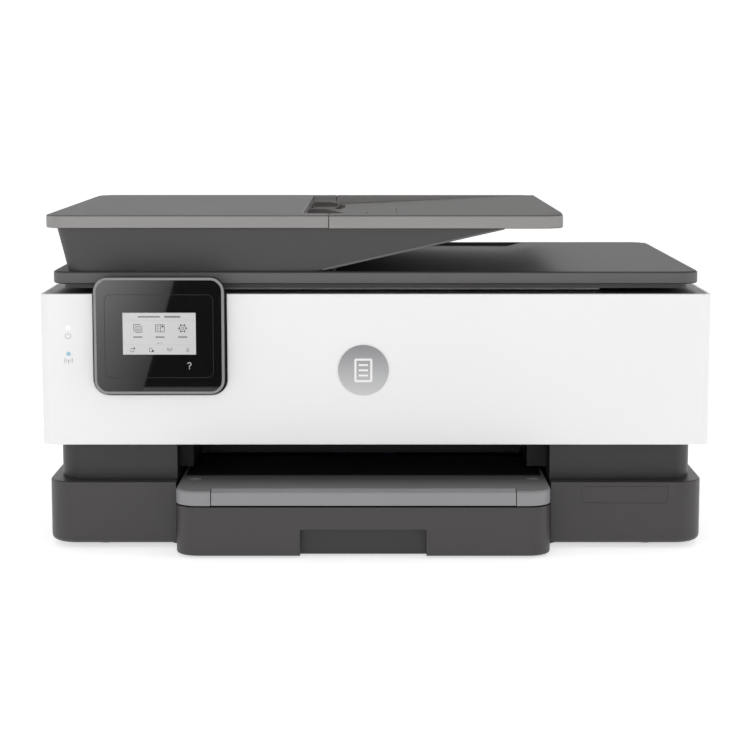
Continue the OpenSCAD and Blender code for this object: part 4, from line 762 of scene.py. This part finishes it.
def feeder():
    """The feeder's body, hinged cover, input tray, guides and rollers."""
    low, high = low_of("adf_cover"), high_of("adf_cover")
    rim_top, rim_low = high.z, low_of("adf_input_tray").z
    body_low = low_of("adf_body")

    def slope(point):
        return -26 < point.x < 96 and body_low.z + 0.3 < point.z < rim_low + 0.1 and point.y < FRONT_Y + 16

    stand_for("adf_body", (1.8, 4, slope), material=body_abs_and_painted_shade)
    wedge_painted_highlight()

    right = high_of("adf_input_tray").x

    def rim_edge(height):
        return outline_at(Vector((low.x, FRONT_Y + 4, 0)), Vector((right, high.y, 0)), LID_CORNER, height)

    cover = merged_copy("adf_cover")
    bevel_edges(cover, 1.3, 4, rim_edge(rim_top))
    bevel_edges(cover, 0.8, 3, rim_edge(rim_low + 0.3))
    bevel_edges(cover, 0.5, 2, lambda p: abs(p.z - rim_top) < 0.05 and -52 < p.x < -30 and p.y > FRONT_Y + 6
                and p.y < high.y - 2)
    finish_copy(cover, "adf_cover")
    # Painted shade: the cover's top keeps its darker grey, and only its upright faces take the rim's lighter
    # grey.
    paint(cover, etched_warm_grey_abs, upright)
    tray = merged_copy("adf_input_tray")
    bevel_edges(tray, 1.3, 4, rim_edge(rim_top))
    bevel_edges(tray, 0.8, 3, rim_edge(rim_low))
    bevel_edges(tray, 0.7, 3, lambda p: abs(p.z - high_of("adf_input_tray").z) < 0.05)
    # Painted shade: the ramp's top takes a darker copy of the rim's grey, and its upright faces the rim's own
    # grey.
    finish_copy(tray, "adf_input_tray", ramp_grey_painted_shade)
    paint(tray, etched_warm_grey_abs, upright)
    # The guides are in the darker copy of the grey: painted shade.
    for node in ("adf_guide_front", "adf_guide_rear"):
        stand_for(node, (0.4, 3, everywhere), material=ramp_grey_painted_shade)
    ramp = high_of("adf_input_tray").z - 0.01

    def ramp_height(x):
        start = -51.3
        return rim_low + 2.2 + (x - start) * (ramp - rim_low - 2.2) / (right - start)

    # Fine seams across the ramp, a slot, and a raised flap over the sheet sensor.
    marks = []
    for x, wide, y0, y1 in ((15.4, 0.7, FRONT_Y + 31, 42), (-7.0, 1.6, -34, -2)):
        mark = block("slot", (x, y0, 0), (x + wide, y1, 0.4), 0)
        lay_on_ramp(mark, ramp_height, 0.06)
        marks.append(mark)
    flap = block("sensor_flap", (-26.5, -70, 0), (-8, 84, 0.4), 0)
    lay_on_ramp(flap, ramp_height, 0.5)
    bevel_edges(flap, 0.35, 2, everywhere)
    # The flap is in the darker copy of the grey: painted shade.
    finish(flap, "scanner_lid", "rim_grey", ramp_grey_painted_shade)
    # Each guide's inner face has a raised, long loop that stiffens it.
    for node, side in (("adf_guide_front", 1), ("adf_guide_rear", -1)):
        guide_low, guide_high = low_of(node), high_of(node)
        face = guide_high.y if side > 0 else guide_low.y
        y0, y1 = sorted((face - side * 0.2, face + side * 0.7))
        loop = hoop(node + "_loop", guide_low.x + 0.6, guide_low.z + 0.9, guide_low.x + 21.5,
                    guide_high.z + 0.4, 2.3, 0.9, y0, y1)
        finish(loop, node, "dark_shell", etched_warm_grey_abs)
    # A black strip fills the seam between the cover and the tray, at the front and at the back, and stops
    # light through it: painted shade for the seam.
    seam_x = high_of("adf_cover").x + 0.3
    fillers = [block("filler", (seam_x - 0.2, y0, rim_low + 0.6), (seam_x + 0.35, y1, rim_top - 0.7), 0)
               for y0, y1 in ((FRONT_Y + 5, FRONT_Y + 20), (high.y - 12, high.y - 1))]
    fitted("seam_strips", fillers, "scanner_lid", "rim_grey", black_abs_and_painted_shade)
    # The seam and the slot are black marks on the ramp: the seam a dark joint, the slot's black painted shade
    # where no opening is cut.
    fitted("ramp_slots", marks, "scanner_lid", "rim_grey", black_abs_and_painted_shade)
    # Stiffening ribs under the cover.
    inner = [block("rib", (low.x + 12, y - 0.7, rim_top - 4.5), (-68, y + 0.7, rim_top - 2.4), 0.2)
             for y in (-88, -44, 48, 96)]
    fitted("cover_ribs", inner, "adf_cover", "feeder_grey")
    for node in ("adf_turn_roller", "adf_pick_roller"):
        stand_for(node, (0.5, 2, everywhere))


def lay_on_ramp(piece, ramp_height, proud):
    """Drops a flat piece onto the sloping floor, so that it stands proud by so much, in mm."""
    mesh = edit(piece)
    for corner in mesh.verts:
        corner.co.z = (ramp_height(corner.co.x / MM) + (proud if corner.co.z > 0.2 * MM else -0.5)) * MM
    bmesh.update_edit_mesh(piece.data)
    bpy.ops.object.mode_set(mode="OBJECT")


def wedge_painted_highlight():
    """A thin rod along the lower front edge of the feeder's body, where it slopes up over the copies, in a
    lighter grey than the body: a painted highlight on that edge.
    """
    body_low = low_of("adf_body")
    start = Vector((-36.5, FRONT_Y + 13.4, body_low.z + 1.2))
    end = Vector((88.5, FRONT_Y + 8.4, low_of("adf_input_tray").z + 0.1))
    highlight_rod = rod("wedge_painted_highlight", (0, 0, 0), 1, 0.9, "X", 12, 0)
    mesh = edit(highlight_rod)
    for corner in mesh.verts:
        along = corner.co.x / MM
        corner.co += start * MM + (end - start - Vector((1, 0, 0))) * MM * along
    bmesh.update_edit_mesh(highlight_rod.data)
    bpy.ops.object.mode_set(mode="OBJECT")
    finish(highlight_rod, "scanner_lid", "dark_shell", grey_abs_and_painted_light)


# ---- Trays ----

def tray_outline(node, height):
    """Passes the edges at one height on the front part of a tray's outer wall."""
    low, high = low_of(node), high_of(node)
    return outline_at(low, Vector((high.x, low.y + 300, 0)), TRAY_CORNER, height)

def trays():
    """The paper tray, the output tray on top of it, and the drawer-like extension."""
    low, high = low_of("paper_tray"), high_of("paper_tray")
    head_top = high.z
    back = FRONT_Y + 1
    head, foot = tray_outline("paper_tray", head_top), tray_outline("paper_tray", low.z)
    notch_top = low.z + 18.3
    tray = merged_copy("paper_tray")
    bevel_edges(tray, 0.3, 2, lambda p: head(p) and p.y < back)
    bevel_edges(tray, 1.6, 4, lambda p: foot(p) and p.y < back)
    bevel_edges(tray, 0.6, 3, lambda p: abs(p.z - notch_top) < 0.05 and abs(p.y - low.y) < 0.1)
    finish_copy(tray, "paper_tray")
    # Painted shade: the faces inside the gap under the output tray and over the finger notch are painted
    # black.
    paint(tray, black_abs_and_painted_shade, lambda p, n: n.z > 0.9 and abs(p.z - head_top) < 0.2
          or n.z < -0.9 and abs(p.z - notch_top) < 0.2)
    # Painted shade: the finger notch's back wall is painted in the darker ABS.
    paint(tray, dark_abs_and_painted_shade, lambda p, n: n.y < -0.9 and p.z < notch_top and low.y + 2 < p.y < low.y + 25)
    slab_low, slab_high = low_of("output_tray"), high_of("output_tray")
    slab = merged_copy("output_tray")
    for width, steps, height in ((1.8, 4, slab_high.z), (0.5, 2, slab_low.z)):
        rim = tray_outline("output_tray", height)
        bevel_edges(slab, width, steps, lambda p, rim=rim: rim(p) and p.y < slab_high.y - 1)
    finish_copy(slab, "output_tray")

    # Painted shade: the slab's underside at the front and the inner sides of its gap are painted black.
    def gap_painted_shade(p, n):
        middle = slab_low.x + 18 < p.x < slab_high.x - 18
        return p.y < slab_low.y + 11 and (n.z < -0.9 or abs(n.x) > 0.9 and middle)
    paint(slab, black_abs_and_painted_shade, gap_painted_shade)
    # Painted shade: a black inner plate covers the rear of the output tray, under the front door, where the
    # tray lies in shade.
    shade = block("plate", (slab_low.x + 3, FRONT_Y + 26, slab_high.z - 0.5),
                  (slab_high.x - 3, slab_high.y - 1, slab_high.z + 0.35), 0.2)
    fitted("output_tray_shade_plate", [shade], BODY_OF["output_tray"], "charcoal_shell", black_abs_and_painted_shade)
    extension = stand_for("output_extension", (0.5, 3, lambda p: p.y < slab_low.y + 10.4
                                               and p.z > slab_high.z - 3))
    # Painted shade: the extension's sides and underside are painted black, for the dark gaps beside it.
    paint(extension, black_abs_and_painted_shade, lambda p, n: abs(n.x) > 0.9 or n.z < -0.9)
    bin_floor = low.z + 6.6
    ribs = [block("rib", (x - 0.8, low.y + 16, bin_floor), (x + 0.8, high.y - 8, bin_floor + 0.25), 0.1)
            for x in (-88, -50, 33, 71)]
    fitted("tray_floor_ribs", ribs, "paper_tray", "charcoal_shell")
    pads = [block("pad", (-8.4 - 10, high.y - 88, bin_floor), (-8.4 + 10, high.y - 58, bin_floor + 0.3), 0.1)]
    fitted("tray_friction_pad", pads, "paper_tray", "rubber")
    scale_x = high.x - 3.4
    scale = [block("mark", (scale_x - 4, y, head_top - 2.55), (scale_x, y + 0.6, head_top - 2.46), 0)
             for y in (-60, -20, 20, 60, 100)]
    fitted("tray_size_marks", scale, "paper_tray", "charcoal_shell", grey_ink)
    for node in ("width_guide_left", "width_guide_right", "length_guide"):
        stand_for(node, (0.5, 2, everywhere))


# ---- Back and underside ----

def back():
    """The rear cover, the duplex door, a blank rating label, the sockets' contacts and the feet."""
    stand_for("rear_cover", (0.5, 2, lambda p: abs(p.y - REAR_Y) < 0.05
                             and (p.z > DECK_Z - 0.1 or p.z < BAND_Z + 0.1)))
    outside = high_of("duplex_door").y
    grip_edge = (0.4, 2, lambda p: abs(p.y - outside + 1) < 0.05 and abs(p.x) < 26)
    stand_for("duplex_door", (0.8, 3, rear_face("duplex_door")), grip_edge)
    stand_for("power_button", (0.5, 3, rear_face("power_button")))
    stand_for("case_screws", (0.3, 2, rear_face("case_screws")))
    stand_for("rubber_feet", (0.8, 3, lambda p: p.z < 0.05))
    button = (low_of("power_button") + high_of("power_button")) / 2
    face = high_of("power_button").y
    mark = [arc("ring", button.x, button.z, 2.4, 0.5, 120, 300, face - 0.1, face + 0.05),
            block("bar", (button.x - 0.25, face - 0.1, button.z + 0.4), (button.x + 0.25, face + 0.05,
                                                                         button.z + 3.1), 0)]
    fitted("power_button_mark", mark, "power_button", "dark_shell", light_ink)
    tub_back = high_of("base_tub").y
    label = block("rating_label", (-60, tub_back - 0.05, FOOT_Z + 9), (20, tub_back + 0.12, FOOT_Z + 35), 0)
    bevel_edges(label, 2, 4, lambda p: min(abs(p.x + 60), abs(p.x - 20)) < 0.01
                and min(abs(p.z - FOOT_Z - 9), abs(p.z - FOOT_Z - 35)) < 14)
    finish(label, "chassis", "white_pad", coated_paper)
    ports = low_of("rear_ports")
    ports_high = high_of("rear_ports")
    contacts = [block("contact", (ports_high.x - 14.5 + 1.4 * i, ports.y + 3.2, ports_high.z - 3.6),
                      (ports_high.x - 13.9 + 1.4 * i, ports.y + 13, ports_high.z - 3.1), 0.1)
                for i in range(8)]
    contacts.append(block("tongue", (ports.x + 5, ports.y + 3, ports.z + 5.5),
                          (ports.x + 11, ports.y + 12, ports.z + 9.5), 0.3))
    fitted("port_contacts", contacts, "chassis", "steel", gold_contact)
    inlet = (low_of("power_inlet") + high_of("power_inlet")) / 2
    rear = high_of("power_inlet").y
    blades = [rod("blade", (inlet.x + s * 4.2, rear - 13.5, inlet.z), 9, 1.15, "Y", 16, 0.3) for s in (-1, 1)]
    fitted("inlet_pins", blades, "chassis", "steel", nickel_plate)


# ---- Inside ----

def engine():
    """Small parts of the print engine that show when the front door is open."""
    rail_low, rail_high = low_of("guide_rail"), high_of("guide_rail")
    strip = block("encoder_strip", (rail_low.x + 6, rail_low.y - 3.2, rail_high.z - 22),
                  (rail_high.x - 6, rail_low.y - 3.0, rail_high.z - 14), 0)
    finish(strip, "chassis", "lens", encoder_film)
    ends = []
    for x in (rail_low.x + 3, rail_high.x - 7):
        ends.append(block("holder", (x, rail_low.y - 4, rail_high.z - 24), (x + 4, rail_low.y + 0.2,
                                                                         rail_high.z - 12), 0.4))
    fitted("encoder_holders", ends, "chassis", "black_plastic")
    cable = block("flat_cable", (-60, rail_high.y - 6, rail_high.z + 0.1),
                  (150, rail_high.y - 1, rail_high.z + 0.5), 0.1)
    finish(cable, "chassis", "white_pad", white_polystyrene)
    carriage_low, carriage_high = low_of("carriage"), high_of("carriage")
    head = block("print_head", (carriage_low.x + 12, carriage_low.y + 14, carriage_low.z - 1.2),
                 (carriage_high.x - 12, carriage_low.y + 78, carriage_low.z + 0.3), 0.4)
    finish(head, "carriage", "steel", nickel_plate)
    stand_for("carriage", (0.6, 2, lambda p: p.y < carriage_low.y + 92 and p.z > carriage_low.z + 20))
    for colour in ("black", "cyan", "magenta", "yellow"):
        node = "cartridge_" + colour
        low, high = low_of(node), high_of(node)
        ink = MATERIAL_OF["ink_" + colour]
        shell = stand_for(node, (0.7, 3, everywhere), material=cartridge_black_pp)
        paint(shell, ink, lambda p, n, edge=low.y: p.y < edge + 1.3)
        label = block("label_" + colour, (low.x + 4, low.y - 0.08, low.z + 9), (high.x - 4, low.y + 0.2,
                                                                            high.z - 22), 0)
        finish(label, node, "white_pad", coated_paper)


def exit_baffle():
    """A black, ribbed wall under the exit roller, which closes the bay behind the output tray."""
    waist_low, waist_high = low_of("waist_shell"), high_of("waist_shell")
    tray_low, tray_high = low_of("paper_tray"), high_of("paper_tray")
    y = high_of("output_tray").y + 1.2
    left, right = tray_low.x + 7.6, tray_high.x - 12.6
    parts = [block("wall", (left, y, waist_low.z + 2.5), (right, y + 1.6, waist_high.z - 3), 0.3)]
    for i in range(9):
        x = left + 12 + i * (right - left - 24) / 8
        parts.append(block("rib", (x - 0.8, y + 1.5, waist_low.z + 4),
                           (x + 0.8, y + 3.6, waist_high.z - 4), 0.3))
    fitted("exit_baffle", parts, "chassis", "black_plastic")


def boards():
    """Components on the main board."""
    low, high = low_of("main_board"), high_of("main_board")
    top = low.z + 6.6 if high.z - low.z > 6 else low.z + 1.6
    chips = []
    # Each chip's place on the board, its width and its depth.
    sizes = ((10, 40, 14, 14), (30, 70, 10, 16), (12, 110, 18, 12), (34, 130, 8, 8))
    for dx, dy, wide, deep in sizes:
        chips.append(block("chip", (low.x + dx, low.y + dy, top),
                           (low.x + dx + wide, low.y + dy + deep, top + 1.4), 0.2))
    fitted("board_chips", chips, "chassis", "black_plastic")
    cans = [rod("capacitor", (low.x + 14 + 11 * i, low.y + 24, top), 9, 3.6, "Z", 20, 0.5) for i in range(4)]
    fitted("board_capacitors", cans, "chassis", "steel", nickel_plate)


lower_case()
white_band()
door_marks()
control_panel()
lid()
feeder()
trays()
back()
engine()
exit_baffle()
boards()


# ---- Camera, studio and floor ----

# Each light: its name, place, what it points at, its width and height, and its power in watts.
LIGHTS = [
    ("top_softbox", (0, -0.2, 2.4), (0, 0, 0.1), (2.4, 1.8), 6.5),
    ("front_softbox", (-0.4, -2.8, 1.3), (0, 0, 0.12), (2.6, 1.8), 18.5),
    ("left_strip", (-2.2, -0.7, 0.8), (0, 0, 0.12), (0.8, 1.8), 3.4),
    ("right_strip", (2.2, -0.7, 0.8), (0, 0, 0.12), (0.8, 1.8), 6),
]
AIR = 0.26
FLOOR_GLOW = 0.6
# Low screens close the three sides without the sweep: each one's name, place and turn.
SCREENS = [
    ("left_screen", (-12, 0, 0.75), math.pi / 2),
    ("right_screen", (12, 0, 0.75), math.pi / 2),
    ("front_screen", (0, -12, 0.75), 0),
]

def reflection_card(name, corners, height, glow):
    """A card on the floor in front of the printer that shows only in its gloss; it glows more to one side.

    glow is its strength at the origin, how that changes along X, Y and Z, and the least that it falls to.
    """
    bpy.ops.object.select_all(action="DESELECT")
    bpy.ops.mesh.primitive_plane_add(size=1, location=(0, 0, height))
    card = bpy.context.object
    card.name = name
    settle(card)
    mesh = edit(card)
    order = sorted(mesh.verts, key=lambda corner: math.atan2(corner.co.y, corner.co.x))
    places = sorted(corners, key=lambda place: math.atan2(place[1] + 1.6, place[0] + 0.3))
    for corner, place in zip(order, places):
        corner.co.x, corner.co.y = place
    bmesh.update_edit_mesh(card.data)
    bpy.ops.object.mode_set(mode="OBJECT")
    material, tree, shader = new_material(name + "_cloth", "#020202", 1.0)
    place = add(tree, "ShaderNodeTexCoord").outputs["Object"]
    fall = add(tree, "ShaderNodeVectorMath", {0: place}, operation="DOT_PRODUCT")
    fall.inputs[1].default_value = glow[1]
    rise = add(tree, "ShaderNodeMath", {0: fall.outputs["Value"]}, operation="ADD", use_clamp=False)
    rise.inputs[1].default_value = glow[0]
    floor_level = add(tree, "ShaderNodeMath", {0: rise.outputs["Value"]}, operation="MAXIMUM")
    floor_level.inputs[1].default_value = glow[2]
    tree.links.new(floor_level.outputs["Value"], shader.inputs["Emission Strength"])
    shader.inputs["Emission Color"].default_value = (1, 1, 1, 1)
    card.data.materials.append(material)
    card.visible_camera = False
    card.visible_diffuse = False
    card.visible_shadow = False


def studio():
    """A white sweep under and behind the printer, soft lights round it and the camera in front."""
    bpy.ops.object.select_all(action="DESELECT")
    bpy.ops.mesh.primitive_plane_add(size=1, location=(0, 0, 0))
    sweep = bpy.context.object
    sweep.name = "studio_sweep"
    sweep.scale = (24, 24, 1)
    settle(sweep)
    mesh = edit(sweep)
    for line in mesh.edges:
        line.select_set(all(corner.co.y > 11 for corner in line.verts))
    bmesh.update_edit_mesh(sweep.data)
    bpy.ops.mesh.extrude_region_move(TRANSFORM_OT_translate={"value": (0, 0, 12)})
    bpy.ops.object.mode_set(mode="OBJECT")
    bevel_edges(sweep, 4000, 24, lambda p: p.z < 0.01 and p.y > 11000)
    use(sweep)
    bpy.ops.object.shade_smooth()
    paper, tree, shader = new_material("white_studio_paper", "#fdfdfd", 0.8)
    place = add(tree, "ShaderNodeTexCoord").outputs["Object"]
    pulp = add(tree, "ShaderNodeTexNoise", {"Vector": place}, Scale=400.0)
    bump = add(tree, "ShaderNodeBump", {"Height": pulp.outputs["Fac"]}, Distance=0.00002, Strength=0.3)
    tree.links.new(bump.outputs["Normal"], shader.inputs["Normal"])
    shader.inputs["Emission Color"].default_value = (1, 1, 1, 1)
    shader.inputs["Emission Strength"].default_value = FLOOR_GLOW
    sweep.data.materials.append(paper)
    for name, place, turn in SCREENS:
        bpy.ops.mesh.primitive_plane_add(size=1, location=place, rotation=(math.pi / 2, 0, turn))
        screen = bpy.context.object
        screen.name = name
        screen.scale = (24, 1.5, 1)
        settle(screen)
        screen.data.materials.append(paper)
    for name, place, aim, size, power in LIGHTS:
        lamp = bpy.data.lights.new(name, "AREA")
        lamp.shape = "RECTANGLE"
        lamp.size, lamp.size_y = size
        lamp.energy = power
        light = bpy.data.objects.new(name, lamp)
        light.location = place
        light.rotation_euler = (Vector(aim) - Vector(place)).to_track_quat("-Z", "Y").to_euler()
        bpy.context.collection.objects.link(light)
    reflection_card("dark_card", [(-0.247, -0.93), (-0.06, -0.93), (-0.06, -2.6), (-0.366, -2.6)], 0.004,
                    (0.0, (0, 0, 0), 0.0))
    reflection_card("bright_card", [(-0.5, -0.8), (-0.238, -0.8), (-0.366, -2.6), (-0.9, -2.6)], 0.003,
                    (-2.97, (-20, 1.29, 0), 0.4))
    world = bpy.data.worlds.new("studio_air")
    world.use_nodes = True
    world.node_tree.nodes["Background"].inputs["Color"].default_value = (1, 1, 1, 1)
    world.node_tree.nodes["Background"].inputs["Strength"].default_value = AIR
    bpy.context.scene.world = world
    bpy.context.scene.view_settings.view_transform = "Standard"
    camera = bpy.data.objects.new("camera", bpy.data.cameras.new("camera"))
    camera.data.lens = 99.6
    camera.location = (-0.0004, -1.5512, 0.311)
    camera.rotation_euler = (math.radians(90 - 7.631), 0, 0)
    bpy.context.collection.objects.link(camera)
    bpy.context.scene.camera = camera


studio()
